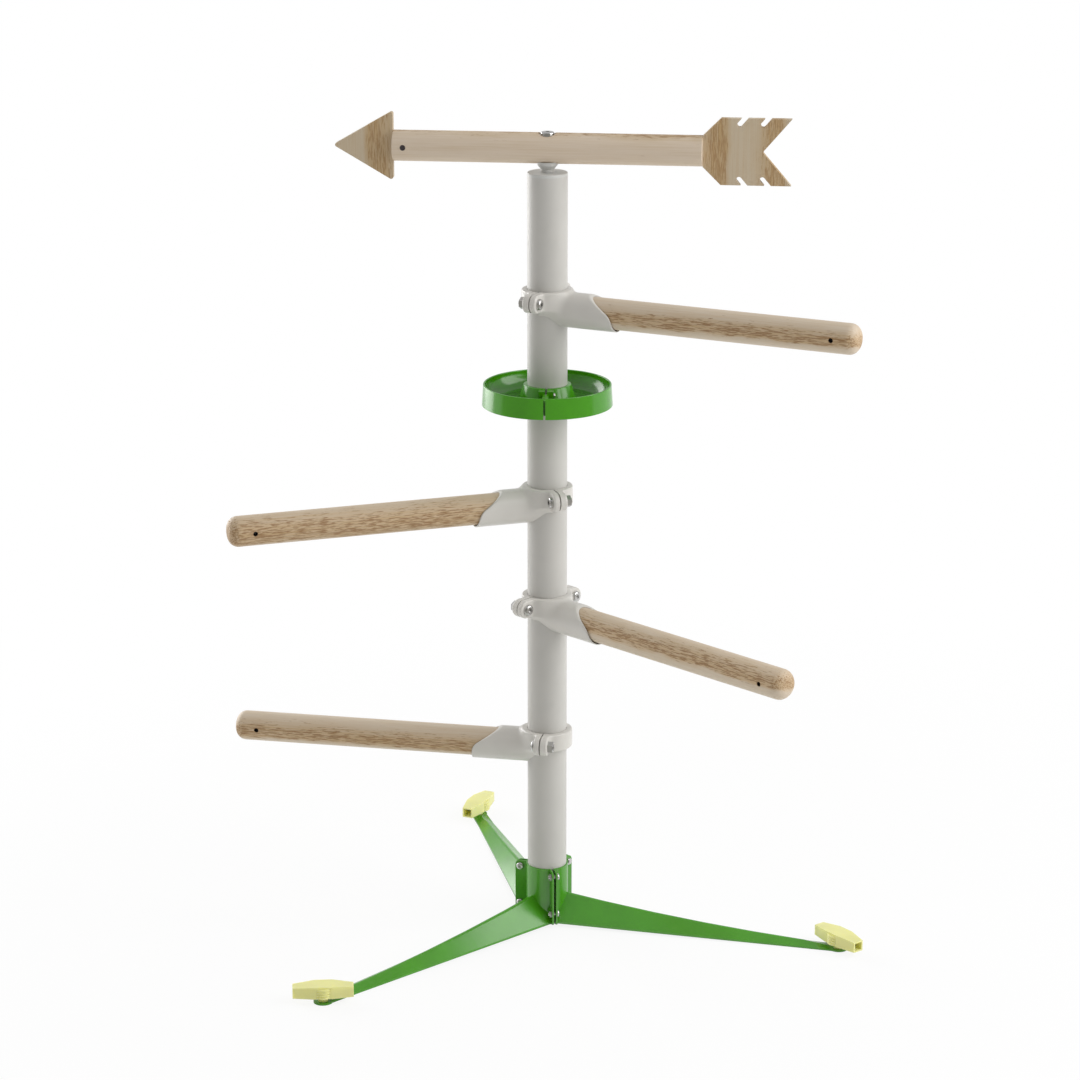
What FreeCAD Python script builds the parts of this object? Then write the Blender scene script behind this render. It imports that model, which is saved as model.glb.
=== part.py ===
import FreeCAD
import Part
import math
import os

# Perch tree for hens: a pole on three folded steel legs, four wooden perches held to the pole by clamp
# brackets, a treat dish round the pole and, on top, an arrow that turns in the wind.
# Millimetres. The origin is on the floor at the pole's axis, +Z is up and +Y runs along the rear leg.

# Pole and its end plugs
POLE_DIAMETER = 50.0
POLE_WALL = 2.0
CAP_FLANGE = 4.0
CAP_EDGE_ROUND = 1.5
FOOT_FLANGE = 3.0
PLUG_DEPTH = 24.0
PLUG_WALL = 2.5
PLUG_CLEARANCE = 0.15
PIVOT_BOSS_WALL = 5.0

# Folded legs: hub third, flanges, blade and eyelet
SHEET = 2.0
HUB_CLEARANCE = 0.1
HUB_BOTTOM = 5.0
HUB_HEIGHT = 72.0
SEAM_GAP = 3.0
FLANGE_WIDTH = 14.5
FLANGE_CORNER = 6.0
LEG_REACH = 385.0
RIDGE_AT_HUB = 43.0
RIDGE_AT_MIDDLE = 20.5
RIDGE_AT_END = 7.6
BLADE_WIDTH_AT_HUB = 58.0
BLADE_WIDTH_AT_END = 22.0
BLADE_FLAT_LENGTH = 45.0
FOLD_RADIUS = 4.5
EYELET_RADIUS = 12.0

# Bolts of the base
BASE_BOLT_DIAMETER = 5.0
BASE_BOLT_INSET = 8.0
BASE_BOLT_ABOVE_BOTTOM = 14.0
BASE_BOLT_BELOW_TOP = 7.5
BASE_HEAD_DIAMETER = 9.8
BASE_HEAD_HEIGHT = 3.4
BASE_NUT_WIDTH = 8.0
BASE_NUT_HEIGHT = 2.7
BOLT_END = 1.5

# Ground pegs: handle above the eyelet, shank cut off level with the floor
PEG_HANDLE_LENGTH = 75.0
PEG_MIDDLE_WIDTH = 25.0
PEG_END_WIDTH = 14.5
PEG_MIDDLE_LENGTH = 22.0
PEG_MIDDLE_HEIGHT = 15.5
PEG_END_HEIGHT = 13.5
PEG_RIDGE_CLEARANCE = 1.0
PEG_POCKET_WALL = 1.8
PEG_POCKET_DEPTH = 20.0
PEG_GRIP_RADIUS = 11.0
PEG_GRIP_PROUD = 3.4
PEG_GRIP_GROOVE = 1.1
PEG_GRIP_RIBS = 4
PEG_SHANK_DIAMETER = 12.0
PEG_CLEARANCE = 0.3
PEG_FLOOR_GAP = 0.3
PEG_FRONT_LEFT_ANGLE = -9.9
PEG_FRONT_RIGHT_ANGLE = -67.4
PEG_REAR_ANGLE = 52.0

# How things are set on the pole, from the floor up: each rod's axis above the one below it, the dish's
# bottom above the upper perch, and the pole's top above the top perch
BOTTOM_PERCH_RISE = 237.7
LOWER_PERCH_RISE = 180.2
UPPER_PERCH_RISE = 142.3
DISH_RISE = 128.5
TOP_PERCH_RISE = 123.1
POLE_TOP_RISE = 169.2

# Directions of the perches, from +X
BOTTOM_PERCH_ANGLE = 154.4
LOWER_PERCH_ANGLE = -60.5
UPPER_PERCH_ANGLE = 184.2
TOP_PERCH_ANGLE = -40.1

# Perch rods
ROD_DIAMETER = 38.0
ROD_LENGTH = 382.0
ROD_TIP_ROUND = 13.0
TREAT_HOLE_DIAMETER = 6.0
TREAT_HOLE_FROM_TIP = 30.5

# Clamp brackets
SLEEVE_WALL = 1.5
SLEEVE_SLIT = 2.0
SLEEVE_SHORT = 1.0
SLIDE_CLEARANCE = 0.06
TURN_CLEARANCE = 0.06
BAND_WALL = 5.5
BAND_ROUND = 2.0
EAR_RADIUS = 11.5
EAR_RISE = 12.5
EAR_REACH = 9.5
EAR_FRONT_DEPTH = 7.2
EAR_BACK_DEPTH = 8.7
EAR_ROUND = 2.0
SPLIT_GAP = 1.6
SOCKET_WALL = 2.7
SOCKET_WEB = 3.2
SKIRT_EDGE = 2.6
SKIRT_INSET = 0.6
SKIRT_LIFT = 5.0
SKIRT_FOOT_INSET = 6.0
SOCKET_TOP_DEPTH = 29.5
SOCKET_MIDDLE_DEPTH = 64.0
SOCKET_BOTTOM_DEPTH = 67.0
SOCKET_LIP_ROUND = 9.0
ROD_CLEARANCE = 0.3
BRACKET_BOLT_DIAMETER = 8.0
BRACKET_HEAD_DIAMETER = 14.0
BRACKET_HEAD_HEIGHT = 4.4
BRACKET_NUT_WIDTH = 13.0
BRACKET_NUT_HEIGHT = 6.5
BOLT_HOLE_CLEARANCE = 0.2
THREAD_CLEARANCE = 0.05
PERCH_SCREW_DEPTH = 46.0
PERCH_SCREW_DIAMETER = 4.0
PERCH_SCREW_GRIP = 12.0
PERCH_SCREW_HEAD_DIAMETER = 8.0
PERCH_SCREW_HEAD_HEIGHT = 1.9
PERCH_SCREW_SUNK = 0.45
PERCH_SCREW_RECESS_WIDTH = 2.5
PERCH_SCREW_END_GAP = 0.5

# Treat dish
DISH_HEIGHT = 26.1
DISH_RADIUS = 81.6
DISH_DRAFT = 1.6
DISH_WALL = 2.4
DISH_FLOOR = 4.6
DISH_OUTER_ROUND = 20.0
DISH_INNER_ROUND = 9.0
DISH_SKIRT_RISE = 9.0
DISH_COLLAR_WALL = 4.5
DISH_COLLAR_SPREAD = 7.5
DISH_GRIP_LENGTH = 12.0
DISH_SEAM_ANGLE = -107.1
DISH_SEAM_GAP = 2.4
DISH_END_WALL = 2.4
DISH_END_DROP = 4.0
DISH_TONGUE_INSET = 7.5
DISH_TONGUE_GAP = 0.3
DISH_LUG_WIDTH = 8.0
DISH_LUG_MARGIN = 4.0
DISH_LUG_HEIGHT = 13.0
DISH_SCREW_OUT = 7.0
DISH_SCREW_DIAMETER = 4.0
DISH_SCREW_HEAD_DIAMETER = 7.0
DISH_SCREW_HEAD_HEIGHT = 2.6

# Arrow
VANE_ANGLE = -20.5
SHAFT_DIAMETER = 38.0
SHAFT_LENGTH = 380.0
SHAFT_END_ROUND = 1.2
PLATE_THICKNESS = 10.0
HEAD_HEIGHT = 86.0
HEAD_LENGTH = 74.0
TAIL_HEIGHT = 81.5
HEAD_CORNER_ROUND = 2.5
TAIL_FLARE_LENGTH = 22.0
TAIL_STRAIGHT_LENGTH = 85.5
TAIL_NOTCH_DEPTH = 35.0
TAIL_NOTCH_ROUND = 3.0
TAIL_SLOT_WIDTH = 6.4
TAIL_SLOT_DEPTH = 9.6
TENON_HEIGHT = 22.0
TENON_LENGTH = 30.0
TENON_CLEARANCE = 0.1
PIN_DIAMETER = 7.0
PIN_FROM_END = 14.0
PIN_CLEARANCE = 0.05
PIVOT_DIAMETER = 8.0
PIVOT_CLEARANCE = 0.08
PIVOT_HEAD_DIAMETER = 17.0
PIVOT_HEAD_HEIGHT = 3.4
PIVOT_GRIP = 22.0
WASHER_DIAMETER = 21.0
WASHER_HEIGHT = 1.6
SPOT_FACE_DEPTH = 4.0
SPOT_FACE_MARGIN = 1.0
BUSH_FLANGE_DIAMETER = 26.0
BUSH_FLANGE_HEIGHT = 3.5
BUSH_NECK_DIAMETER = 17.0
BUSH_NECK_HEIGHT = 3.8
BUSH_TAPER_HEIGHT = 5.5
BUSH_SPIGOT_DIAMETER = 14.0
BUSH_SPIGOT_HEIGHT = 12.0
BUSH_SEAT_DEPTH = 2.5
VANE_GAP = 0.2

# Counts: legs and flat stretches along a leg's blade
LEG_COUNT = 3
BLADE_SPAN_COUNT = 5

# Shares of a grip rib's pitch at which its outer face starts and ends
PEG_RIB_START = 0.25
PEG_RIB_END = 0.7

# Sizes that follow from those above
LEG_HALF_ANGLE = 180.0 / LEG_COUNT
REAR_LEG_ANGLE = 90.0
BOTTOM_PERCH_HEIGHT = BOTTOM_PERCH_RISE
LOWER_PERCH_HEIGHT = BOTTOM_PERCH_HEIGHT + LOWER_PERCH_RISE
UPPER_PERCH_HEIGHT = LOWER_PERCH_HEIGHT + UPPER_PERCH_RISE
DISH_BOTTOM = UPPER_PERCH_HEIGHT + DISH_RISE
TOP_PERCH_HEIGHT = DISH_BOTTOM + TOP_PERCH_RISE
STAND_HEIGHT = TOP_PERCH_HEIGHT + POLE_TOP_RISE
POLE_RADIUS = POLE_DIAMETER / 2
HUB_BORE = POLE_RADIUS + HUB_CLEARANCE
HUB_RADIUS = HUB_BORE + SHEET
HUB_TOP = HUB_BOTTOM + HUB_HEIGHT
FLANGE_REACH = HUB_RADIUS + FLANGE_WIDTH
BASE_BOLT_REACH = HUB_RADIUS + BASE_BOLT_INSET
BASE_BOLT_HEIGHTS = (HUB_BOTTOM + BASE_BOLT_ABOVE_BOTTOM, HUB_TOP - BASE_BOLT_BELOW_TOP)
PEG_HANDLE_BOTTOM = RIDGE_AT_END + PEG_RIDGE_CLEARANCE
ROD_RADIUS = ROD_DIAMETER / 2
SLEEVE_BORE = POLE_RADIUS + SLIDE_CLEARANCE
SLEEVE_RADIUS = SLEEVE_BORE + SLEEVE_WALL
CLAMP_BORE = SLEEVE_RADIUS + TURN_CLEARANCE
BAND_RADIUS = CLAMP_BORE + BAND_WALL
BAND_LOW = EAR_RISE - EAR_RADIUS
BAND_HIGH = EAR_RISE + EAR_RADIUS
EAR_OFFSET = BAND_RADIUS + EAR_REACH
EAR_FRONT = SPLIT_GAP / 2 + EAR_FRONT_DEPTH
EAR_BACK = -SPLIT_GAP / 2 - EAR_BACK_DEPTH
SOCKET_START = CLAMP_BORE + SOCKET_WEB
SOCKET_BORE = ROD_RADIUS + ROD_CLEARANCE
SOCKET_RADIUS = SOCKET_BORE + SOCKET_WALL
PERCH_SCREW_PLACE = SOCKET_START + PERCH_SCREW_DEPTH
PERCH_SCREW_LEVEL = PERCH_SCREW_SUNK - SOCKET_RADIUS
DISH_TOP = DISH_BOTTOM + DISH_HEIGHT
DISH_BORE = POLE_RADIUS + SLIDE_CLEARANCE
DISH_COLLAR_RADIUS = DISH_BORE + DISH_COLLAR_WALL
SHAFT_RADIUS = SHAFT_DIAMETER / 2
SHAFT_END = SHAFT_LENGTH / 2
HEAD_TOP = HEAD_HEIGHT / 2
TAIL_TOP = TAIL_HEIGHT / 2
BUSH_BOTTOM = STAND_HEIGHT + VANE_GAP
BUSH_SEAT_LEVEL = BUSH_BOTTOM + BUSH_NECK_HEIGHT + BUSH_TAPER_HEIGHT + BUSH_FLANGE_HEIGHT
VANE_AXIS_HEIGHT = BUSH_SEAT_LEVEL - BUSH_SEAT_DEPTH + SHAFT_RADIUS
SPOT_FACE_LEVEL = VANE_AXIS_HEIGHT + SHAFT_RADIUS - SPOT_FACE_DEPTH
PIVOT_RADIUS = PIVOT_DIAMETER / 2
FAR = 2.0 * (STAND_HEIGHT + LEG_REACH + ROD_LENGTH)

ORIGIN = FreeCAD.Vector(0, 0, 0)
X_AXIS = FreeCAD.Vector(1, 0, 0)
Y_AXIS = FreeCAD.Vector(0, 1, 0)
Z_AXIS = FreeCAD.Vector(0, 0, 1)
CYCLE_AXIS = FreeCAD.Vector(1, 1, 1)


def cylinder_x(radius, start, end, y=0.0, z=0.0):
    return Part.makeCylinder(radius, end - start, FreeCAD.Vector(start, y, z), X_AXIS)


def cylinder_y(radius, start, end, x=0.0, z=0.0):
    return Part.makeCylinder(radius, end - start, FreeCAD.Vector(x, start, z), Y_AXIS)


def cylinder_z(radius, start, end, x=0.0, y=0.0):
    return Part.makeCylinder(radius, end - start, FreeCAD.Vector(x, y, start), Z_AXIS)


def block(x_range, y_range, z_range):
    lows, highs = zip(x_range, y_range, z_range)
    sides = [high - low for low, high in zip(lows, highs)]
    return Part.makeBox(*sides, FreeCAD.Vector(*lows))


def rounded_wire(corners):
    """Closed wire in the XY plane through (x, y, corner radius) points, corners rounded by arcs."""
    entries = []
    exits = []
    arcs = []
    count = len(corners)
    for index, (x, y, radius) in enumerate(corners):
        corner = FreeCAD.Vector(x, y, 0)
        before = FreeCAD.Vector(*corners[index - 1][:2], 0)
        after = FreeCAD.Vector(*corners[(index + 1) % count][:2], 0)
        back = (before - corner).normalize()
        ahead = (after - corner).normalize()
        if radius == 0:
            entries.append(corner)
            exits.append(corner)
            arcs.append(None)
            continue
        half = back.getAngle(ahead) / 2
        entry = corner + back * (radius / math.tan(half))
        leave = corner + ahead * (radius / math.tan(half))
        middle = corner + (back + ahead).normalize() * (radius / math.sin(half) - radius)
        entries.append(entry)
        exits.append(leave)
        arcs.append(Part.Arc(entry, middle, leave).toShape())
    edges = []
    for index in range(count):
        if arcs[index] is not None:
            edges.append(arcs[index])
        edges.append(Part.LineSegment(exits[index], entries[(index + 1) % count]).toShape())
    return Part.Wire(edges)


def slab(corners, low, high):
    """Outline in plan, between two heights."""
    face = Part.Face(rounded_wire(corners))
    face.translate(FreeCAD.Vector(0, 0, low))
    return face.extrude(FreeCAD.Vector(0, 0, high - low))


def upright_slab(corners, thickness):
    """Outline of (x, z) corners, with its thickness centred on y = 0."""
    shape = slab(corners, -thickness / 2, thickness / 2)
    shape.rotate(ORIGIN, X_AXIS, 90)
    return shape


def turned(corners):
    """Solid of revolution about Z of an outline of (radius, z) corners."""
    face = Part.Face(rounded_wire(corners))
    face.rotate(ORIGIN, X_AXIS, 90)
    return face.revolve(ORIGIN, Z_AXIS, 360)


def hexagon(across_flats, low, high):
    reach = across_flats / math.sqrt(3)
    corners = []
    for index in range(6):
        angle = math.radians(60 * index)
        corners.append((reach * math.cos(angle), reach * math.sin(angle), 0))
    return slab(corners, low, high)


def turned_about_z(shape, angle):
    result = shape.copy()
    result.rotate(ORIGIN, Z_AXIS, angle)
    return result


def shifted(shape, x=0.0, y=0.0, z=0.0):
    result = shape.copy()
    result.translate(FreeCAD.Vector(x, y, z))
    return result


def pointing_x(shape):
    """The shape with its +Z direction turned to +X."""
    result = shape.copy()
    result.rotate(ORIGIN, Y_AXIS, 90)
    return result


def pointing_y(shape):
    """The shape with its +Z direction turned to +Y."""
    result = shape.copy()
    result.rotate(ORIGIN, X_AXIS, -90)
    return result


def fuse(shapes):
    return shapes[0].multiFuse(shapes[1:])


def button_bolt(diameter, length, head_diameter, head_height):
    """Bolt along Z with its seat at z = 0, a domed head above it and a hexagon socket in the head."""
    radius = diameter / 2
    head_radius = head_diameter / 2
    dome = 0.7 * min(head_height, head_radius)
    profile = [
        (0, -length, 0),
        (radius, -length, 0),
        (radius, 0, 0),
        (head_radius, 0, 0),
        (head_radius, head_height, dome),
        (0, head_height, 0),
    ]
    socket = hexagon(0.62 * diameter, 0.45 * head_height, 2 * head_height)
    return turned(profile).cut(socket)


def hex_nut(bolt_diameter, width, height):
    """Nut on Z from z = 0 upwards, with its corners turned off."""
    body = hexagon(width, 0, height)
    reach = width / math.sqrt(3)
    turn_off = 0.25 * (reach - width / 2)
    trim = turned([
        (0, 0, 0),
        (reach - turn_off, 0, 0),
        (reach, turn_off, 0),
        (reach, height - turn_off, 0),
        (reach - turn_off, height, 0),
        (0, height, 0),
    ])
    return body.common(trim).cut(cylinder_z(bolt_diameter / 2 + THREAD_CLEARANCE, -height, 2 * height))


def save(name, solids):
    """One STEP file for each node, with its separate solids."""
    shape = solids[0] if len(solids) == 1 else Part.Compound(solids)
    shape.exportStep(os.path.join("parts", name + ".step"))
    valid = all(solid.isValid() for solid in solids)
    print(f"{name:26s} solids {len(shape.Solids)} volume {shape.Volume:10.0f} valid {valid}")


def pole():
    low = FOOT_FLANGE
    high = STAND_HEIGHT - CAP_FLANGE
    return cylinder_z(POLE_RADIUS, low, high).cut(cylinder_z(POLE_RADIUS - POLE_WALL, low, high))


def plug_skirt(flange_level, end_level):
    """Ring of a plug that fits inside the pole."""
    radius = POLE_RADIUS - POLE_WALL - PLUG_CLEARANCE
    low, high = sorted((flange_level, end_level))
    return cylinder_z(radius, low, high).cut(cylinder_z(radius - PLUG_WALL, low, high))


def pole_cap():
    seat = STAND_HEIGHT - CAP_FLANGE
    flange = turned([
        (0, seat, 0),
        (POLE_RADIUS, seat, 0),
        (POLE_RADIUS, STAND_HEIGHT, CAP_EDGE_ROUND),
        (0, STAND_HEIGHT, 0),
    ])
    boss = cylinder_z(PIVOT_RADIUS + PIVOT_BOSS_WALL, seat - PLUG_DEPTH, seat)
    body = fuse([flange, plug_skirt(seat, seat - PLUG_DEPTH), boss])
    thread = cylinder_z(PIVOT_RADIUS + THREAD_CLEARANCE, seat - 2 * PLUG_DEPTH, STAND_HEIGHT + PLUG_DEPTH)
    return body.cut(thread)


def pole_foot():
    flange = cylinder_z(POLE_RADIUS, 0, FOOT_FLANGE)
    return flange.fuse(plug_skirt(FOOT_FLANGE, FOOT_FLANGE + PLUG_DEPTH))


def blade_section(station, ridge, half_width, edge):
    """Roof-shaped section of the leg's sheet across X: a fold at the ridge and two straight sides.

    The sheet is measured straight down, so that it keeps its thickness square to each sloping side.
    """
    slope = math.atan2(ridge - edge - SHEET, half_width)
    drop = SHEET / math.cos(slope)
    wire = rounded_wire([
        (-half_width, edge + drop, 0),
        (-half_width, edge, 0),
        (0, ridge - drop, FOLD_RADIUS - SHEET),
        (half_width, edge, 0),
        (half_width, edge + drop, 0),
        (0, ridge, FOLD_RADIUS),
    ])
    wire.rotate(ORIGIN, CYCLE_AXIS, 120)
    wire.translate(FreeCAD.Vector(station, 0, 0))
    return wire


def ridge_height(share):
    """Height of the ridge on a parabola through its heights at the hub, half-way and at the flat end."""
    at_hub = RIDGE_AT_HUB * (1 - share) * (1 - 2 * share)
    at_middle = RIDGE_AT_MIDDLE * 4 * share * (1 - share)
    at_end = RIDGE_AT_END * share * (2 * share - 1)
    return at_hub + at_middle + at_end


def leg_blade():
    start = HUB_BORE * math.cos(math.radians(LEG_HALF_ANGLE)) - SHEET
    end = LEG_REACH - BLADE_FLAT_LENGTH
    sections = []
    for index in range(BLADE_SPAN_COUNT + 1):
        share = index / BLADE_SPAN_COUNT
        half_width = (BLADE_WIDTH_AT_HUB * (1 - share) + BLADE_WIDTH_AT_END * share) / 2
        edge = HUB_BOTTOM * (1 - share)
        sections.append(blade_section(start + share * (end - start), ridge_height(share), half_width, edge))
    flat_station = LEG_REACH - EYELET_RADIUS / 2
    flat_half_width = EYELET_RADIUS * math.sqrt(3) / 2
    flat_crown = 0.1 * SHEET
    sections.append(blade_section(flat_station, SHEET + flat_crown, flat_half_width, 0))
    return Part.makeLoft(sections, True, True)


def hub_flange(side):
    """Upright flange beside one seam of the hub; side is 1 for the seam further round, else -1."""
    outline = upright_slab([
        (HUB_BORE + SHEET / 2, HUB_BOTTOM, 0),
        (FLANGE_REACH, HUB_BOTTOM, FLANGE_CORNER / 2),
        (FLANGE_REACH, HUB_TOP, FLANGE_CORNER),
        (HUB_BORE + SHEET / 2, HUB_TOP, 0),
    ], SHEET)
    hole = BASE_BOLT_DIAMETER / 2 + BOLT_HOLE_CLEARANCE
    for height in BASE_BOLT_HEIGHTS:
        outline = outline.cut(cylinder_y(hole, -SHEET, SHEET, BASE_BOLT_REACH, height))
    plate = shifted(outline, y=-side * (SEAM_GAP + SHEET) / 2)
    return turned_about_z(plate, side * LEG_HALF_ANGLE)


def leg():
    """One leg along +X."""
    ring = cylinder_z(HUB_RADIUS, HUB_BOTTOM, HUB_TOP)
    half_angle = math.radians(LEG_HALF_ANGLE)
    apex = SEAM_GAP / 2 / math.sin(half_angle)
    wedge = slab([
        (apex, 0, 0),
        (apex + FAR * math.cos(half_angle), -FAR * math.sin(half_angle), 0),
        (apex + FAR * math.cos(half_angle), FAR * math.sin(half_angle), 0),
    ], -SHEET, HUB_TOP + SHEET)
    folded = ring.fuse(leg_blade()).common(wedge)
    eyelet = cylinder_z(EYELET_RADIUS, 0, SHEET, LEG_REACH)
    body = fuse([folded, hub_flange(1), hub_flange(-1), eyelet])
    peg_hole = PEG_SHANK_DIAMETER / 2 + PEG_CLEARANCE
    body = body.cut(cylinder_z(HUB_BORE, -SHEET, HUB_TOP + SHEET))
    return body.cut(cylinder_z(peg_hole, -SHEET, HUB_TOP, LEG_REACH))


def base_fasteners():
    """Bolts and nuts through the three seams, two to a seam."""
    grip = SEAM_GAP + 2 * SHEET
    length = grip + BASE_NUT_HEIGHT + BOLT_END
    bolt = pointing_y(button_bolt(BASE_BOLT_DIAMETER, length, BASE_HEAD_DIAMETER, BASE_HEAD_HEIGHT))
    nut = pointing_y(hex_nut(BASE_BOLT_DIAMETER, BASE_NUT_WIDTH, BASE_NUT_HEIGHT))
    nut.rotate(ORIGIN, Z_AXIS, 180)
    bolts = []
    nuts = []
    for index in range(LEG_COUNT):
        seam_angle = REAR_LEG_ANGLE + LEG_HALF_ANGLE * (2 * index + 1)
        for height in BASE_BOLT_HEIGHTS:
            bolts.append(turned_about_z(shifted(bolt, BASE_BOLT_REACH, grip / 2, height), seam_angle))
            nuts.append(turned_about_z(shifted(nut, BASE_BOLT_REACH, -grip / 2, height), seam_angle))
    return bolts, nuts


def peg():
    """Peg on Z with its handle along X."""
    tip = PEG_HANDLE_LENGTH / 2
    waist = PEG_MIDDLE_LENGTH / 2
    middle = PEG_MIDDLE_WIDTH / 2
    end = PEG_END_WIDTH / 2
    soft = 0.3 * waist
    plan = slab([
        (-tip, -end, 0), (-waist, -middle, soft), (waist, -middle, soft), (tip, -end, 0),
        (tip, end, 0), (waist, middle, soft), (-waist, middle, soft), (-tip, end, 0),
    ], 0, PEG_MIDDLE_HEIGHT)
    side_view = upright_slab([
        (-tip, 0, 0), (tip, 0, 0), (tip, PEG_END_HEIGHT, 0), (waist, PEG_MIDDLE_HEIGHT, 0),
        (-waist, PEG_MIDDLE_HEIGHT, 0), (-tip, PEG_END_HEIGHT, 0),
    ], 2 * PEG_MIDDLE_WIDTH)
    handle = plan.common(side_view)
    pocket_half = end - PEG_POCKET_WALL
    pocket_heights = (PEG_POCKET_WALL, PEG_END_HEIGHT - PEG_POCKET_WALL)
    for start, finish in ((tip - PEG_POCKET_DEPTH, 2 * tip), (-2 * tip, PEG_POCKET_DEPTH - tip)):
        handle = handle.cut(block((start, finish), (-pocket_half, pocket_half), pocket_heights))
    grip = peg_grip()
    grip_offset = middle + PEG_GRIP_PROUD - PEG_GRIP_RADIUS
    shank = cylinder_z(PEG_SHANK_DIAMETER / 2, PEG_FLOOR_GAP - PEG_HANDLE_BOTTOM, PEG_POCKET_WALL)
    body = fuse([handle, shifted(grip, y=grip_offset), shifted(grip, y=-grip_offset), shank])
    return shifted(body, z=PEG_HANDLE_BOTTOM)


def peg_grip():
    """Round grip with ribs across it, set half into each side of the handle."""
    top = PEG_END_HEIGHT
    pitch = top / PEG_GRIP_RIBS
    corners = [(0, 0, 0)]
    for index in range(PEG_GRIP_RIBS):
        low = index * pitch
        corners.append((PEG_GRIP_RADIUS - PEG_GRIP_GROOVE, low, 0))
        corners.append((PEG_GRIP_RADIUS, low + PEG_RIB_START * pitch, 0))
        corners.append((PEG_GRIP_RADIUS, low + PEG_RIB_END * pitch, 0))
    corners.append((PEG_GRIP_RADIUS - PEG_GRIP_GROOVE, top, 0))
    corners.append((0, top, 0))
    return turned(corners)


def perch_rod():
    """Rod along +X on the perch's axis, round at its tip, with the treat hole across it."""
    tip = SOCKET_START + ROD_LENGTH
    rod = turned([
        (0, SOCKET_START, 0),
        (ROD_RADIUS, SOCKET_START, 0),
        (ROD_RADIUS, tip, ROD_TIP_ROUND),
        (0, tip, 0),
    ])
    rod = pointing_x(rod)
    treat_x = tip - TREAT_HOLE_FROM_TIP
    rod = rod.cut(cylinder_y(TREAT_HOLE_DIAMETER / 2, -ROD_DIAMETER, ROD_DIAMETER, treat_x))
    pilot = PERCH_SCREW_DIAMETER / 2 + THREAD_CLEARANCE
    return rod.cut(cylinder_z(pilot, -ROD_DIAMETER, PERCH_SCREW_GRIP - ROD_RADIUS, PERCH_SCREW_PLACE))


def socket_skirt():
    """Wall below the band, on the band's own round, whose slanted sides run down to the socket."""
    top = BAND_LOW + BAND_ROUND
    low = SKIRT_LIFT - SOCKET_RADIUS
    wide = BAND_RADIUS - SKIRT_EDGE
    narrow = SOCKET_RADIUS - SKIRT_FOOT_INSET
    front_view = turned_about_z(upright_slab([
        (-narrow, low, 0), (narrow, low, 0), (wide, top, 0), (-wide, top, 0),
    ], 2 * FAR), 90)
    front = block((SPLIT_GAP / 2, FAR), (-FAR, FAR), (-FAR, FAR))
    return cylinder_z(BAND_RADIUS - SKIRT_INSET, low, top).common(front_view).common(front)


def socket_body():
    """Tube for the rod, cut to the slanted mouth."""
    end = SOCKET_START + SOCKET_BOTTOM_DEPTH
    tube = cylinder_x(SOCKET_RADIUS, SPLIT_GAP / 2, end)
    above = 2 * SOCKET_RADIUS
    top = SOCKET_START + SOCKET_TOP_DEPTH
    middle = SOCKET_START + SOCKET_MIDDLE_DEPTH
    rise = (middle - top) / SOCKET_RADIUS
    mouth = upright_slab([
        (top - rise * (above - SOCKET_RADIUS), above, 0),
        (middle, 0, SOCKET_LIP_ROUND),
        (end, -SOCKET_RADIUS, 0),
        (2 * end, -SOCKET_RADIUS, 0),
        (2 * end, above, 0),
    ], 4 * SOCKET_RADIUS)
    return tube.cut(mouth)


def clamp_band():
    return turned([
        (CLAMP_BORE, BAND_LOW, 0),
        (BAND_RADIUS, BAND_LOW, BAND_ROUND),
        (BAND_RADIUS, BAND_HIGH, BAND_ROUND),
        (CLAMP_BORE, BAND_HIGH, 0),
    ])


def ear_plate(depth):
    """Plate of both ears on the +X side of the split, round-ended about the bolts, front edge rounded."""
    back = SPLIT_GAP / 2
    front = back + depth
    tops = [FreeCAD.Vector(back, side * EAR_OFFSET, BAND_HIGH) for side in (-1, 1)]
    ends = [FreeCAD.Vector(back, side * (EAR_OFFSET + EAR_RADIUS), EAR_RISE) for side in (-1, 1)]
    bottoms = [FreeCAD.Vector(back, side * EAR_OFFSET, BAND_LOW) for side in (-1, 1)]
    outline = Part.Wire([
        Part.LineSegment(tops[0], tops[1]).toShape(),
        Part.Arc(tops[1], ends[1], bottoms[1]).toShape(),
        Part.LineSegment(bottoms[1], bottoms[0]).toShape(),
        Part.Arc(bottoms[0], ends[0], tops[0]).toShape(),
    ])
    plate = Part.Face(outline).extrude(FreeCAD.Vector(depth, 0, 0))
    front_edges = [edge for edge in plate.Edges if edge.BoundBox.XMin > (back + front) / 2]
    return plate.makeFillet(EAR_ROUND, front_edges)


def bored_for_clamping(body):
    """The clamp's bore and its two bolt holes."""
    body = body.cut(cylinder_z(CLAMP_BORE, -FAR, FAR))
    hole = BRACKET_BOLT_DIAMETER / 2 + BOLT_HOLE_CLEARANCE
    for side in (-1, 1):
        body = body.cut(cylinder_x(hole, -BAND_RADIUS, BAND_RADIUS, side * EAR_OFFSET, EAR_RISE))
    return body


def bracket_socket():
    front = block((SPLIT_GAP / 2, FAR), (-FAR, FAR), (-FAR, FAR))
    half_band = clamp_band().common(front)
    body = fuse([ear_plate(EAR_FRONT_DEPTH), half_band, socket_skirt(), socket_body()]).removeSplitter()
    body = bored_for_clamping(body)
    body = body.cut(cylinder_x(SOCKET_BORE, SOCKET_START, FAR))
    body = body.cut(sunk_screw(BOLT_HOLE_CLEARANCE))
    seat_radius = PERCH_SCREW_HEAD_DIAMETER / 2 + BOLT_HOLE_CLEARANCE
    return body.cut(cylinder_z(seat_radius, -2 * SOCKET_RADIUS, PERCH_SCREW_LEVEL, PERCH_SCREW_PLACE))


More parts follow.
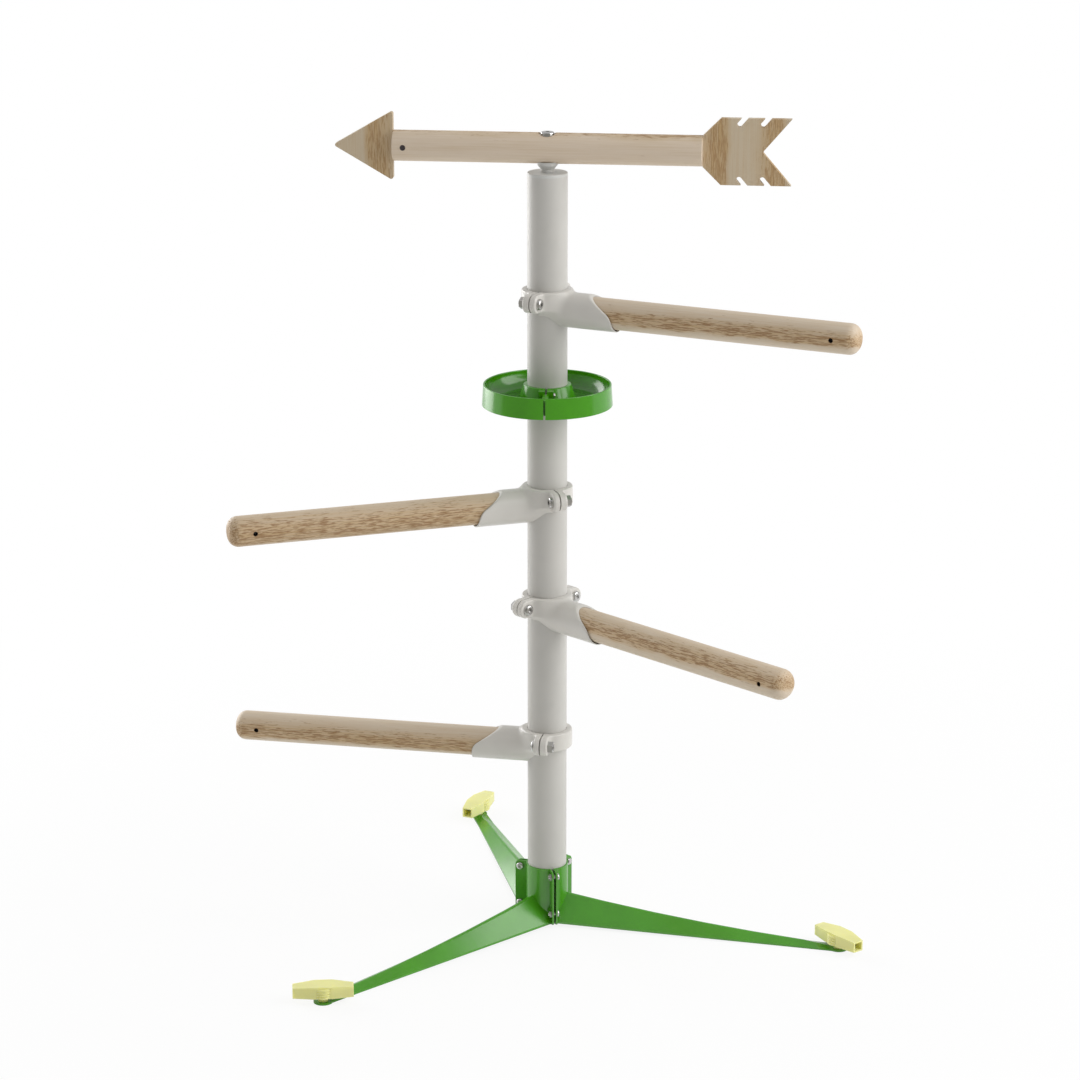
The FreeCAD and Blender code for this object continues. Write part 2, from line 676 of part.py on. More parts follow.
def sunk_screw(clearance):
    """Countersunk screw from below at its place in the socket, widened by a clearance."""
    head = PERCH_SCREW_HEAD_DIAMETER / 2 + clearance
    shank = PERCH_SCREW_DIAMETER / 2 + clearance
    top = PERCH_SCREW_GRIP - ROD_RADIUS - PERCH_SCREW_END_GAP
    screw = turned([
        (0, PERCH_SCREW_LEVEL, 0),
        (head, PERCH_SCREW_LEVEL, 0),
        (shank, PERCH_SCREW_LEVEL + PERCH_SCREW_HEAD_HEIGHT, 0),
        (shank, top, 0),
        (0, top, 0),
    ])
    return shifted(screw, PERCH_SCREW_PLACE)


def bracket_clamp():
    """Rear half, made facing +X and turned round to the back of the pole."""
    front = block((SPLIT_GAP / 2, FAR), (-FAR, FAR), (-FAR, FAR))
    body = fuse([ear_plate(EAR_BACK_DEPTH), clamp_band().common(front)]).removeSplitter()
    return turned_about_z(bored_for_clamping(body), 180)


def bracket_bolts():
    length = EAR_FRONT - EAR_BACK + BRACKET_NUT_HEIGHT + BOLT_END
    bolt = pointing_x(button_bolt(
        BRACKET_BOLT_DIAMETER, length, BRACKET_HEAD_DIAMETER, BRACKET_HEAD_HEIGHT))
    return [shifted(bolt, EAR_FRONT, side * EAR_OFFSET, EAR_RISE) for side in (-1, 1)]


def bracket_nuts():
    nut = pointing_x(hex_nut(BRACKET_BOLT_DIAMETER, BRACKET_NUT_WIDTH, BRACKET_NUT_HEIGHT))
    outer = EAR_BACK - BRACKET_NUT_HEIGHT
    return [shifted(nut, outer, side * EAR_OFFSET, EAR_RISE) for side in (-1, 1)]


def perch_screw():
    """Screw from below, its head flush with the socket and its end in the rod."""
    top = PERCH_SCREW_LEVEL + PERCH_SCREW_HEAD_HEIGHT
    recess = hexagon(PERCH_SCREW_RECESS_WIDTH, -2 * SOCKET_RADIUS, top)
    return sunk_screw(0).cut(shifted(recess, PERCH_SCREW_PLACE))


def grip_sleeve():
    low = BAND_LOW + SLEEVE_SHORT
    high = BAND_HIGH - SLEEVE_SHORT
    ring = cylinder_z(SLEEVE_RADIUS, low, high).cut(cylinder_z(SLEEVE_BORE, low, high))
    return ring.cut(block((-FAR, 0), (-SLEEVE_SLIT / 2, SLEEVE_SLIT / 2), (low, high)))


def dish_ring():
    """Whole dish as a ring: collar, trough and outer wall, from its bottom edge at z = 0."""
    rim = DISH_RADIUS - DISH_DRAFT
    under = DISH_FLOOR - DISH_WALL
    cone_foot = DISH_COLLAR_RADIUS + DISH_COLLAR_SPREAD
    grip_end = DISH_HEIGHT - DISH_GRIP_LENGTH
    cone_share = DISH_GRIP_LENGTH / (DISH_HEIGHT - DISH_FLOOR)
    under_cone = DISH_COLLAR_RADIUS + cone_share * DISH_COLLAR_SPREAD - DISH_WALL
    return turned([
        (DISH_BORE, DISH_HEIGHT, 0),
        (DISH_COLLAR_RADIUS, DISH_HEIGHT, DISH_WALL / 3),
        (cone_foot, DISH_FLOOR, DISH_INNER_ROUND),
        (rim - DISH_WALL, DISH_FLOOR, DISH_OUTER_ROUND),
        (rim - DISH_WALL, DISH_HEIGHT, DISH_WALL / 3),
        (rim, DISH_HEIGHT, DISH_WALL / 3),
        (DISH_RADIUS, 0, 0),
        (DISH_RADIUS - DISH_WALL, 0, 0),
        (DISH_RADIUS - DISH_WALL, DISH_SKIRT_RISE, 0),
        (rim - DISH_WALL - 0.8 * DISH_OUTER_ROUND, under, 0),
        (cone_foot - DISH_WALL / 2, under, 0),
        (under_cone, grip_end, 0),
        (DISH_BORE, grip_end, 0),
    ])


def dish_screw_place():
    """Distance from the pole's axis, and height, of the screws that join the halves."""
    return DISH_COLLAR_RADIUS + DISH_SCREW_OUT, DISH_TOP - DISH_LUG_HEIGHT / 2


def dish_half(side):
    """Half of the dish on one side of the seam plane y = 0, with its end walls and its lugs. The
    half at y > 0 has a tongue on each end wall that closes the seam behind the outer wall."""
    near = side * DISH_SEAM_GAP / 2
    y_range = sorted((near, side * FAR))
    half = shifted(dish_ring(), z=DISH_BOTTOM).common(block((-FAR, FAR), y_range, (-FAR, FAR)))
    lug_y = sorted((near, side * (DISH_SEAM_GAP / 2 + DISH_LUG_WIDTH)))
    lug_z = (DISH_TOP - DISH_LUG_HEIGHT, DISH_TOP - DISH_WALL / 3)
    inner = DISH_BORE + DISH_WALL / 2
    reach, height = dish_screw_place()
    outer = reach + DISH_LUG_MARGIN
    wall_x = DISH_RADIUS - DISH_DRAFT - DISH_WALL / 2
    wall_y = sorted((near, side * (DISH_SEAM_GAP / 2 + DISH_END_WALL)))
    wall_z = (DISH_BOTTOM + DISH_FLOOR - DISH_WALL / 2, DISH_TOP - DISH_END_DROP)
    ends = []
    for direction in (-1, 1):
        ends.append(block(sorted((direction * inner, direction * outer)), lug_y, lug_z))
        ends.append(block(sorted((direction * inner, direction * wall_x)), wall_y, wall_z))
        if side > 0:
            tongue_x = sorted((direction * outer, direction * (DISH_RADIUS - DISH_TONGUE_INSET)))
            ends.append(block(tongue_x, (DISH_TONGUE_GAP - near, wall_y[1]), wall_z))
    body = fuse([half] + ends).cut(cylinder_z(DISH_BORE, -FAR, FAR))
    hole = DISH_SCREW_DIAMETER / 2 + (BOLT_HOLE_CLEARANCE if side > 0 else THREAD_CLEARANCE)
    hole_y = sorted((0, side * (DISH_SEAM_GAP / 2 + DISH_LUG_WIDTH)))
    for x in (-reach, reach):
        body = body.cut(cylinder_y(hole, *hole_y, x, height))
    return turned_about_z(body, DISH_SEAM_ANGLE)


def dish_screws():
    length = 2 * DISH_LUG_WIDTH + DISH_SEAM_GAP - BOLT_END
    screw = pointing_y(button_bolt(
        DISH_SCREW_DIAMETER, length, DISH_SCREW_HEAD_DIAMETER, DISH_SCREW_HEAD_HEIGHT))
    reach, height = dish_screw_place()
    seat = DISH_SEAM_GAP / 2 + DISH_LUG_WIDTH
    screws = [shifted(screw, x, seat, height) for x in (-reach, reach)]
    return [turned_about_z(screw, DISH_SEAM_ANGLE) for screw in screws]


def on_vane(shape):
    """From the arrow's own place, shaft along X through the origin, to its place on the pole."""
    return shifted(turned_about_z(shape, VANE_ANGLE), z=VANE_AXIS_HEIGHT)


def vane_shaft():
    bar = pointing_x(turned([
        (0, -SHAFT_END, 0),
        (SHAFT_RADIUS, -SHAFT_END, SHAFT_END_ROUND),
        (SHAFT_RADIUS, SHAFT_END, SHAFT_END_ROUND),
        (0, SHAFT_END, 0),
    ]))
    half_thickness = PLATE_THICKNESS / 2 + TENON_CLEARANCE
    half_height = TENON_HEIGHT / 2 + TENON_CLEARANCE
    mortise_end = SHAFT_END - TENON_LENGTH - TENON_CLEARANCE
    for x_range in ((mortise_end, 2 * SHAFT_END), (-2 * SHAFT_END, -mortise_end)):
        bar = bar.cut(block(x_range, (-half_thickness, half_thickness), (-half_height, half_height)))
    spot_radius = WASHER_DIAMETER / 2 + SPOT_FACE_MARGIN
    bush_radius = BUSH_FLANGE_DIAMETER / 2 + SPOT_FACE_MARGIN
    spigot_radius = BUSH_SPIGOT_DIAMETER / 2 + THREAD_CLEARANCE
    spigot_top = BUSH_SEAT_LEVEL - VANE_AXIS_HEIGHT + BUSH_SPIGOT_HEIGHT + TENON_CLEARANCE
    pin_x = PIN_FROM_END - SHAFT_END
    cuts = [
        cylinder_z(spot_radius, SHAFT_RADIUS - SPOT_FACE_DEPTH, 2 * SHAFT_RADIUS),
        cylinder_z(bush_radius, -2 * SHAFT_RADIUS, BUSH_SEAT_DEPTH - SHAFT_RADIUS),
        cylinder_z(spigot_radius, -2 * SHAFT_RADIUS, spigot_top),
        cylinder_z(PIVOT_RADIUS + PIVOT_CLEARANCE, -2 * SHAFT_RADIUS, 2 * SHAFT_RADIUS),
        cylinder_y(PIN_DIAMETER / 2 + PIN_CLEARANCE, -SHAFT_DIAMETER, SHAFT_DIAMETER, pin_x),
    ]
    for cut in cuts:
        bar = bar.cut(cut)
    return on_vane(bar)


def plate_tenon(side):
    """Tongue of a plate inside the shaft's end; side is 1 at the tail, -1 at the head."""
    x_range = sorted((side * (SHAFT_END - TENON_LENGTH), side * (SHAFT_END + PLATE_THICKNESS)))
    thickness = (-PLATE_THICKNESS / 2, PLATE_THICKNESS / 2)
    return block(x_range, thickness, (-TENON_HEIGHT / 2, TENON_HEIGHT / 2))


def vane_head():
    tip = -SHAFT_END - HEAD_LENGTH
    point = upright_slab([
        (tip, 0, HEAD_CORNER_ROUND),
        (-SHAFT_END, -HEAD_TOP, HEAD_CORNER_ROUND),
        (-SHAFT_END, HEAD_TOP, HEAD_CORNER_ROUND),
    ], PLATE_THICKNESS)
    body = point.fuse(plate_tenon(-1))
    hole = PIN_DIAMETER / 2 + PIN_CLEARANCE
    return on_vane(body.cut(cylinder_y(hole, -SHAFT_DIAMETER, SHAFT_DIAMETER, PIN_FROM_END - SHAFT_END)))


def vane_tail():
    shoulder = SHAFT_END + TAIL_FLARE_LENGTH
    end = shoulder + TAIL_STRAIGHT_LENGTH
    notch = end - TAIL_NOTCH_DEPTH
    flight = upright_slab([
        (SHAFT_END, -SHAFT_RADIUS, 0),
        (shoulder, -TAIL_TOP, 0),
        (end, -TAIL_TOP, 0),
        (notch, 0, TAIL_NOTCH_ROUND),
        (end, TAIL_TOP, 0),
        (shoulder, TAIL_TOP, 0),
        (SHAFT_END, SHAFT_RADIUS, 0),
    ], PLATE_THICKNESS)
    body = flight.fuse(plate_tenon(1))
    lean = math.degrees(math.atan2(TAIL_NOTCH_DEPTH, TAIL_TOP))
    for share in (1 / 3, 2 / 3):
        mouth = shoulder + share * TAIL_STRAIGHT_LENGTH
        for side in (-1, 1):
            body = body.cut(tail_slot(mouth, side, lean))
    return on_vane(body)


def tail_slot(mouth, side, lean):
    """Round-ended slot that leans towards the shaft as it goes in from the upper or lower edge."""
    half = TAIL_SLOT_WIDTH / 2
    across = (-PLATE_THICKNESS, PLATE_THICKNESS)
    slot = cylinder_y(half, *across, 0, -TAIL_SLOT_DEPTH)
    slot = slot.fuse(block((-half, half), across, (-TAIL_SLOT_DEPTH, TAIL_SLOT_DEPTH)))
    slot.rotate(ORIGIN, Y_AXIS, lean)
    if side < 0:
        slot = slot.mirror(ORIGIN, Z_AXIS)
    return shifted(slot, mouth, 0, side * TAIL_TOP)


def vane_pin():
    half = math.sqrt(SHAFT_RADIUS ** 2 - (PIN_DIAMETER / 2) ** 2)
    return on_vane(cylinder_y(PIN_DIAMETER / 2, -half, half, PIN_FROM_END - SHAFT_END))


def vane_bush():
    """Flared bush: neck on the pole cap, taper, flange against the shaft and spigot up into it."""
    flange_low = BUSH_SEAT_LEVEL - BUSH_FLANGE_HEIGHT
    neck = BUSH_NECK_DIAMETER / 2
    flange = BUSH_FLANGE_DIAMETER / 2
    spigot = BUSH_SPIGOT_DIAMETER / 2
    bore = PIVOT_RADIUS + PIVOT_CLEARANCE
    top = BUSH_SEAT_LEVEL + BUSH_SPIGOT_HEIGHT
    return turned([
        (bore, BUSH_BOTTOM, 0),
        (neck, BUSH_BOTTOM, 0),
        (neck, BUSH_BOTTOM + BUSH_NECK_HEIGHT, 0),
        (flange, flange_low, 0),
        (flange, BUSH_SEAT_LEVEL, 0),
        (spigot, BUSH_SEAT_LEVEL, 0),
        (spigot, top, 0),
        (bore, top, 0),
    ])


def pivot_washer():
    low = SPOT_FACE_LEVEL + VANE_GAP
    disc = cylinder_z(WASHER_DIAMETER / 2, low, low + WASHER_HEIGHT)
    return disc.cut(cylinder_z(PIVOT_RADIUS + THREAD_CLEARANCE, low, low + WASHER_HEIGHT))


def pivot_bolt():
    seat = SPOT_FACE_LEVEL + VANE_GAP + WASHER_HEIGHT
    length = seat - STAND_HEIGHT + PIVOT_GRIP
    bolt = button_bolt(PIVOT_DIAMETER, length, PIVOT_HEAD_DIAMETER, PIVOT_HEAD_HEIGHT)
    return shifted(bolt, z=seat)


def build_stand():
    save("pole", [pole()])
    save("pole_cap", [pole_cap()])
    save("pole_foot", [pole_foot()])
    legs = (
        ("rear", PEG_REAR_ANGLE),
        ("front_left", PEG_FRONT_LEFT_ANGLE),
        ("front_right", PEG_FRONT_RIGHT_ANGLE),
    )
    one_leg = leg()
    one_peg = peg()
    for index, (place, peg_angle) in enumerate(legs):
        angle = REAR_LEG_ANGLE + 2 * LEG_HALF_ANGLE * index
        save("leg_" + place, [turned_about_z(one_leg, angle)])
        eyelet = turned_about_z(Part.Vertex(LEG_REACH, 0, 0), angle).Point
        save("peg_" + place, [shifted(turned_about_z(one_peg, peg_angle), eyelet.x, eyelet.y)])
    bolts, nuts = base_fasteners()
    save("base_bolts", bolts)
    save("base_nuts", nuts)


def build_perches():
    pieces = {
        "perch_rod": [perch_rod()],
        "bracket_socket": [bracket_socket()],
        "bracket_clamp": [bracket_clamp()],
        "bracket_bolts": bracket_bolts(),
        "bracket_nuts": bracket_nuts(),
        "perch_screw": [perch_screw()],
        "grip_sleeve": [grip_sleeve()],
    }
    perches = (("top", TOP_PERCH_HEIGHT, TOP_PERCH_ANGLE),
               ("upper", UPPER_PERCH_HEIGHT, UPPER_PERCH_ANGLE),
               ("lower", LOWER_PERCH_HEIGHT, LOWER_PERCH_ANGLE),
               ("bottom", BOTTOM_PERCH_HEIGHT, BOTTOM_PERCH_ANGLE))
    for place, height, angle in perches:
        for piece, solids in pieces.items():
            placed = [shifted(turned_about_z(solid, angle), z=height) for solid in solids]
            save(piece + "_" + place, placed)


def build_dish():
    save("dish_right", [dish_half(1)])
    save("dish_left", [dish_half(-1)])
    save("dish_screws", dish_screws())


def build_vane():
    save("vane_shaft", [vane_shaft()])
    save("vane_head", [vane_head()])
    save("vane_tail", [vane_tail()])
    save("vane_pin", [vane_pin()])
    save("vane_bush", [vane_bush()])
    save("pivot_washer", [pivot_washer()])
    save("pivot_bolt", [pivot_bolt()])


os.makedirs("parts", exist_ok=True)
build_stand()
build_perches()
build_dish()
build_vane()
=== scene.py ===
import math

import bpy
import numpy as np
from mathutils import Matrix, Vector


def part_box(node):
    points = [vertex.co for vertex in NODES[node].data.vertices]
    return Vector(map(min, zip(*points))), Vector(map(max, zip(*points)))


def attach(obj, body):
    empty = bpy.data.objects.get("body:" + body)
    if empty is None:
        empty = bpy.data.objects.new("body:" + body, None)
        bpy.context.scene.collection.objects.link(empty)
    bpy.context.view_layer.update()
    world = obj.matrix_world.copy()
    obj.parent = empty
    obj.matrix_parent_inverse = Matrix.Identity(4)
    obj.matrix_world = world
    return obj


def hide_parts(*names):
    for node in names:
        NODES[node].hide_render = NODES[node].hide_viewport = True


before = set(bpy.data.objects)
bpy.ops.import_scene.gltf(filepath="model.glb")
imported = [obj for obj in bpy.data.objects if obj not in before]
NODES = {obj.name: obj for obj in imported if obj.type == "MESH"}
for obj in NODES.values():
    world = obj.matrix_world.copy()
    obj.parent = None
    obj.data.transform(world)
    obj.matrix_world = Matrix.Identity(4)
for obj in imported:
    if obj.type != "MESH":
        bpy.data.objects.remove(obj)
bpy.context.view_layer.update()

PERCHES = ("top", "upper", "lower", "bottom")
LEGS = ("front_left", "front_right", "rear")

# Camera: where it stands, where it looks and its lens
CAMERA_PLACE = (-1.0461, -4.0493, 1.7415)
CAMERA_HEADING = math.radians(-14.36)
CAMERA_PITCH = math.radians(16.384)
CAMERA_LENS = 115.25
CAMERA_SENSOR = 36.0

# Directions of the perches and of the arrow's tail, in degrees counter-clockwise from +X
PERCH_HEADING = {"bottom": 154.4, "lower": -60.5, "upper": 184.2, "top": -40.1}
VANE_HEADING = -20.5

MM = 0.001
PER_METRE = 1000.0

# Cross hole of a perch, in mm: its place from the pole's axis, half its length along the rod with a little
# to spare, and the distances from the rod's axis between which its painted shade fades out to the rod's
# skin
HOLE_PLACE = 381.32
HOLE_REACH = 3.4
HOLE_FADE = (17.6, 18.8)

# Painted shade in the dish's trough, in mm: the radii between which it comes in at the collar's foot and
# goes out at the outer wall, the depths below the rim between which it grows, and the most of it
TROUGH_START = (33.0, 42.0)
TROUGH_END = (77.7, 78.5)
TROUGH_DEPTH = (3.0, 20.0)
TROUGH_PAINTED_SHADE_MOST = 0.6


def srgb(red, green, blue):
    """Linear colour of 8-bit sRGB values: ((c + 0.055) / 1.055) ** 2.4 above the toe, c / 12.92 in it."""
    c = np.array([red, green, blue]) / 255.0
    linear = np.where(c > 0.04045, ((c + 0.055) / 1.055) ** 2.4, c / 12.92)
    return (*linear.tolist(), 1.0)


# Colours of the finishes
POLE_GREY = srgb(201, 199, 194)
BRACKET_GREY = srgb(213, 210, 204)
CAP_GREY = srgb(206, 206, 203)
LEAF_GREEN = srgb(68, 152, 6)
DISH_GREEN = srgb(68, 152, 8)
# Dark green painted down the dish's trough as shade
TROUGH_PAINTED_SHADE_GREEN = srgb(30, 84, 4)
PEG_YELLOW = srgb(236, 234, 160)
STEEL = srgb(205, 204, 203)
RUBBER = srgb(96, 96, 96)
WOOD_PALE = srgb(213, 198, 178)
WOOD_DEEP = srgb(198, 169, 128)
WOOD_PORE = srgb(142, 102, 60)
# Near-black brown painted inside the perches' cross holes as shade
HOLE_PAINTED_SHADE = srgb(38, 24, 12)
SHAFT_PALE = srgb(220, 203, 183)
SHAFT_DEEP = srgb(199, 175, 138)
PLATE_PALE = srgb(204, 188, 163)
PLATE_DEEP = srgb(190, 160, 115)
PLATE_PORE = srgb(163, 127, 85)
PIN_DARK = srgb(62, 54, 58)
FLOOR_WHITE = (0.90, 0.90, 0.90, 1.0)
PURE_WHITE = (1.0, 1.0, 1.0, 1.0)

# Dimmer light from the camera's side
CAMERA_SIDE = (0.38, 0.37, 0.33, 1.0)


# Node helpers

def add(tree, kind, **settings):
    """One node of a tree with its settings."""
    node = tree.nodes.new(kind)
    for name, value in settings.items():
        setattr(node, name, value)
    return node


def feed(tree, socket, value):
    """A link where the value is a socket, otherwise a plain value."""
    if isinstance(value, bpy.types.NodeSocket):
        tree.links.new(value, socket)
    else:
        socket.default_value = value


def math_node(tree, operation, first, second=0.0, third=None, clamp=False):
    """One step of arithmetic on sockets and plain values."""
    node = add(tree, "ShaderNodeMath", operation=operation, use_clamp=clamp)
    feed(tree, node.inputs[0], first)
    feed(tree, node.inputs[1], second)
    if third is not None:
        feed(tree, node.inputs[2], third)
    return node.outputs[0]


def distance(tree, first, second):
    """Length across two sides at right angles: sqrt(a a + b b)."""
    square = math_node(tree, "MULTIPLY", second, second)
    return math_node(tree, "SQRT", math_node(tree, "MULTIPLY_ADD", first, first, square))


def mix_colour(tree, share, first, second):
    """Colour that goes from first at share 0 to second at share 1."""
    node = add(tree, "ShaderNodeMix", data_type="RGBA")
    feed(tree, node.inputs[0], share)
    feed(tree, node.inputs[6], first)
    feed(tree, node.inputs[7], second)
    return node.outputs[2]


def smooth_step(tree, value, low, high):
    """0 below low, 1 above high and an S-shaped rise between."""
    node = add(tree, "ShaderNodeMapRange", interpolation_type="SMOOTHSTEP")
    feed(tree, node.inputs["Value"], value)
    node.inputs["From Min"].default_value = low
    node.inputs["From Max"].default_value = high
    return node.outputs[0]


def stretched(tree, vector, scale):
    """A vector with each axis multiplied."""
    node = add(tree, "ShaderNodeVectorMath", operation="MULTIPLY")
    feed(tree, node.inputs[0], vector)
    node.inputs[1].default_value = scale
    return node.outputs[0]


def noise(tree, vector, scale=1.0, detail=2.0, roughness=0.5):
    """Smooth noise from 0 to 1, with so many waves per unit of the vector."""
    node = add(tree, "ShaderNodeTexNoise")
    feed(tree, node.inputs["Vector"], vector)
    node.inputs["Scale"].default_value = scale
    node.inputs["Detail"].default_value = detail
    node.inputs["Roughness"].default_value = roughness
    return node.outputs[0]


def drawn_out(tree, vector, along, across, detail, roughness=0.5):
    """Noise with so many waves per millimetre along X and across it."""
    return noise(tree, stretched(tree, vector, (along, across, across)), 1.0, detail, roughness)


def new_group(name, inputs, outputs):
    """An empty node group with named sockets, its input node and its output node."""
    group = bpy.data.node_groups.new(name, "ShaderNodeTree")
    for socket, kind in inputs:
        group.interface.new_socket(socket, in_out="INPUT", socket_type="NodeSocket" + kind)
    for socket, kind in outputs:
        group.interface.new_socket(socket, in_out="OUTPUT", socket_type="NodeSocket" + kind)
    return group, group.nodes.new("NodeGroupInput"), group.nodes.new("NodeGroupOutput")


def skin_group():
    """Skin of a coated or moulded surface. The vector is in millimetres.

    Tone is a slow cloud over some 40 mm, Grain a fine peel of about half a millimetre.
    """
    group, given, result = new_group(
        "coated_skin",
        [("Vector", "Vector"), ("Grain Size", "Float")],
        [("Tone", "Float"), ("Grain", "Float")])
    vector = given.outputs["Vector"]
    cloud = noise(group, vector, 0.025, 3.0)
    divide = add(group, "ShaderNodeVectorMath", operation="DIVIDE")
    feed(group, divide.inputs[0], vector)
    feed(group, divide.inputs[1], given.outputs["Grain Size"])
    peel = noise(group, divide.outputs[0], 1.0, 2.0, 0.55)
    feed(group, result.inputs["Tone"], smooth_step(group, cloud, 0.3, 0.7))
    feed(group, result.inputs["Grain"], peel)
    return group


# Bends of the timber's rings, in mm: slow ones and short ones
RING_SWAY = 12.0
RING_WAVE = 9.0


def timber_group():
    """Flat-sawn open-pored timber. The vector is in millimetres, with X along the grain.

    Rings are the distance from the heart, at the vector's origin in Y and Z, over the ring
    width, bent by slow and by short waves. Each ring starts with a darker band of open
    pores, short dashes along X, and goes on pale and smooth with faint fibres.
    """
    group, given, result = new_group(
        "open_pored_timber",
        [("Vector", "Vector"), ("Ring Width", "Float"), ("Pale", "Color"), ("Deep", "Color"),
         ("Pore", "Color")],
        [("Color", "Color"), ("Roughness", "Float"), ("Height", "Float")])
    vector = given.outputs["Vector"]
    split = add(group, "ShaderNodeSeparateXYZ")
    feed(group, split.inputs[0], vector)
    heart = distance(group, split.outputs["Y"], split.outputs["Z"])
    sway = drawn_out(group, vector, 0.005, 0.02, 1.0)
    wave = drawn_out(group, vector, 0.03, 0.07, 3.0, 0.6)
    swayed = math_node(group, "MULTIPLY_ADD", sway, RING_SWAY, heart)
    bent = math_node(group, "MULTIPLY_ADD", wave, RING_WAVE, swayed)
    phase = math_node(group, "FRACT", math_node(group, "DIVIDE", bent, given.outputs["Ring Width"]))
    rise = smooth_step(group, phase, 0.0, 0.14)
    fall = math_node(group, "SUBTRACT", 1.0, smooth_step(group, phase, 0.3, 0.7))
    porous = math_node(group, "MULTIPLY", rise, fall)
    fibre = drawn_out(group, vector, 0.012, 0.6, 3.0, 0.6)
    fine = drawn_out(group, vector, 0.05, 3.0, 2.0, 0.6)
    dashes = drawn_out(group, vector, 0.07, 0.9, 2.0, 0.6)
    clumps = drawn_out(group, vector, 0.014, 0.11, 1.0)
    spread = math_node(group, "MULTIPLY_ADD", clumps, 0.14, dashes)
    opened = math_node(group, "MULTIPLY_ADD", porous, 0.26, spread)
    pores = smooth_step(group, opened, 0.785, 0.885)
    tone = math_node(group, "MULTIPLY_ADD", fibre, 1.2, -0.51)
    shade = math_node(group, "MULTIPLY_ADD", porous, 0.72, tone, clamp=True)
    ground = mix_colour(group, shade, given.outputs["Pale"], given.outputs["Deep"])
    streak = math_node(group, "MULTIPLY", smooth_step(group, fine, 0.5, 0.8), 0.22)
    streaked = mix_colour(group, streak, ground, given.outputs["Deep"])
    dark = math_node(group, "MULTIPLY", pores, 0.74)
    feed(group, result.inputs["Color"], mix_colour(group, dark, streaked, given.outputs["Pore"]))
    feed(group, result.inputs["Roughness"], math_node(group, "MULTIPLY_ADD", pores, 0.2, 0.5))
    sunk = math_node(group, "MULTIPLY_ADD", pores, -0.8, fine)
    feed(group, result.inputs["Height"], sunk)
    return group


def hole_group():
    """Painted shade inside a rod's cross hole: 1 closer to the axis than the rod's skin, and close to the
    hole's place along X. The vector is in millimetres, the axis is along X at Side and Rise."""
    group, given, result = new_group(
        "cross_hole_painted_shade",
        [("Vector", "Vector"), ("Side", "Float"), ("Rise", "Float"), ("Place", "Float")],
        [("Shade", "Float")])
    split = add(group, "ShaderNodeSeparateXYZ")
    feed(group, split.inputs[0], given.outputs["Vector"])
    across = math_node(group, "SUBTRACT", split.outputs["Y"], given.outputs["Side"])
    up = math_node(group, "SUBTRACT", split.outputs["Z"], given.outputs["Rise"])
    skin = smooth_step(group, distance(group, across, up), *HOLE_FADE)
    deep = math_node(group, "SUBTRACT", 1.0, skin)
    along = math_node(group, "SUBTRACT", split.outputs["X"], given.outputs["Place"])
    near = math_node(group, "LESS_THAN", math_node(group, "ABSOLUTE", along), HOLE_REACH)
    feed(group, result.inputs["Shade"], math_node(group, "MULTIPLY", deep, near))
    return group


def metal_group():
    """Skin of a plated fastener: a slow cloud and fine scratches. The vector is in millimetres."""
    group, given, result = new_group(
        "plated_skin", [("Vector", "Vector")], [("Tone", "Float"), ("Scratch", "Float")])
    vector = given.outputs["Vector"]
    feed(group, result.inputs["Tone"], noise(group, vector, 0.35, 3.0))
    scratch = noise(group, stretched(group, vector, (9.0, 1.2, 9.0)), 1.0, 2.0)
    feed(group, result.inputs["Scratch"], scratch)
    return group


SKIN = skin_group()
TIMBER = timber_group()
HOLE = hole_group()
METAL = metal_group()


def new_material(name):
    """A material with its shader, and its tree."""
    material = bpy.data.materials.new(name)
    material.use_nodes = True
    tree = material.node_tree
    return material, tree, tree.nodes["Principled BSDF"]


def millimetres(tree, turn=(0.0, 0.0, 0.0), shift=(0.0, 0.0, 0.0)):
    """Object coordinates in millimetres, turned and then shifted."""
    place = add(tree, "ShaderNodeTexCoord")
    mapping = add(tree, "ShaderNodeMapping")
    tree.links.new(place.outputs["Object"], mapping.inputs["Vector"])
    mapping.inputs["Rotation"].default_value = turn
    mapping.inputs["Location"].default_value = shift
    mapping.inputs["Scale"].default_value = (PER_METRE,) * 3
    return mapping.outputs[0]


def placed_group(tree, group, **values):
    """A group in a material's tree with its inputs fed, and its outputs."""
    node = add(tree, "ShaderNodeGroup", node_tree=group)
    for name, value in values.items():
        feed(tree, node.inputs[name.replace("_", " ")], value)
    return node.outputs


def bump(tree, shader, height, strength, depth):
    """Relief on a shader's normal, from a height between 0 and 1 over a depth in metres."""
    node = add(tree, "ShaderNodeBump")
    node.inputs["Strength"].default_value = strength
    node.inputs["Distance"].default_value = depth
    feed(tree, node.inputs["Height"], height)
    tree.links.new(node.outputs[0], shader.inputs["Normal"])


def shaded(colour, factor):
    """A colour made darker or lighter by a factor."""
    return (*(min(1.0, c * factor) for c in colour[:3]), 1.0)


def coated(name, colour, roughness, grain_size, relief, contrast=0.05, sheen=1.5):
    """Powder coat or moulded plastic: a faint cloud in colour and gloss, and a fine peel."""
    material, tree, shader = new_material(name)
    shader.inputs["IOR"].default_value = sheen
    skin = placed_group(tree, SKIN, Vector=millimetres(tree), Grain_Size=grain_size)
    tone = skin["Tone"]
    low, high = shaded(colour, 1.0 - contrast), shaded(colour, 1.0 + contrast)
    feed(tree, shader.inputs["Base Color"], mix_colour(tree, tone, low, high))
    gloss = math_node(tree, "MULTIPLY_ADD", skin["Grain"], 0.12, roughness - 0.06)
    feed(tree, shader.inputs["Roughness"], gloss)
    bump(tree, shader, skin["Grain"], relief, 0.1 * MM)
    return material


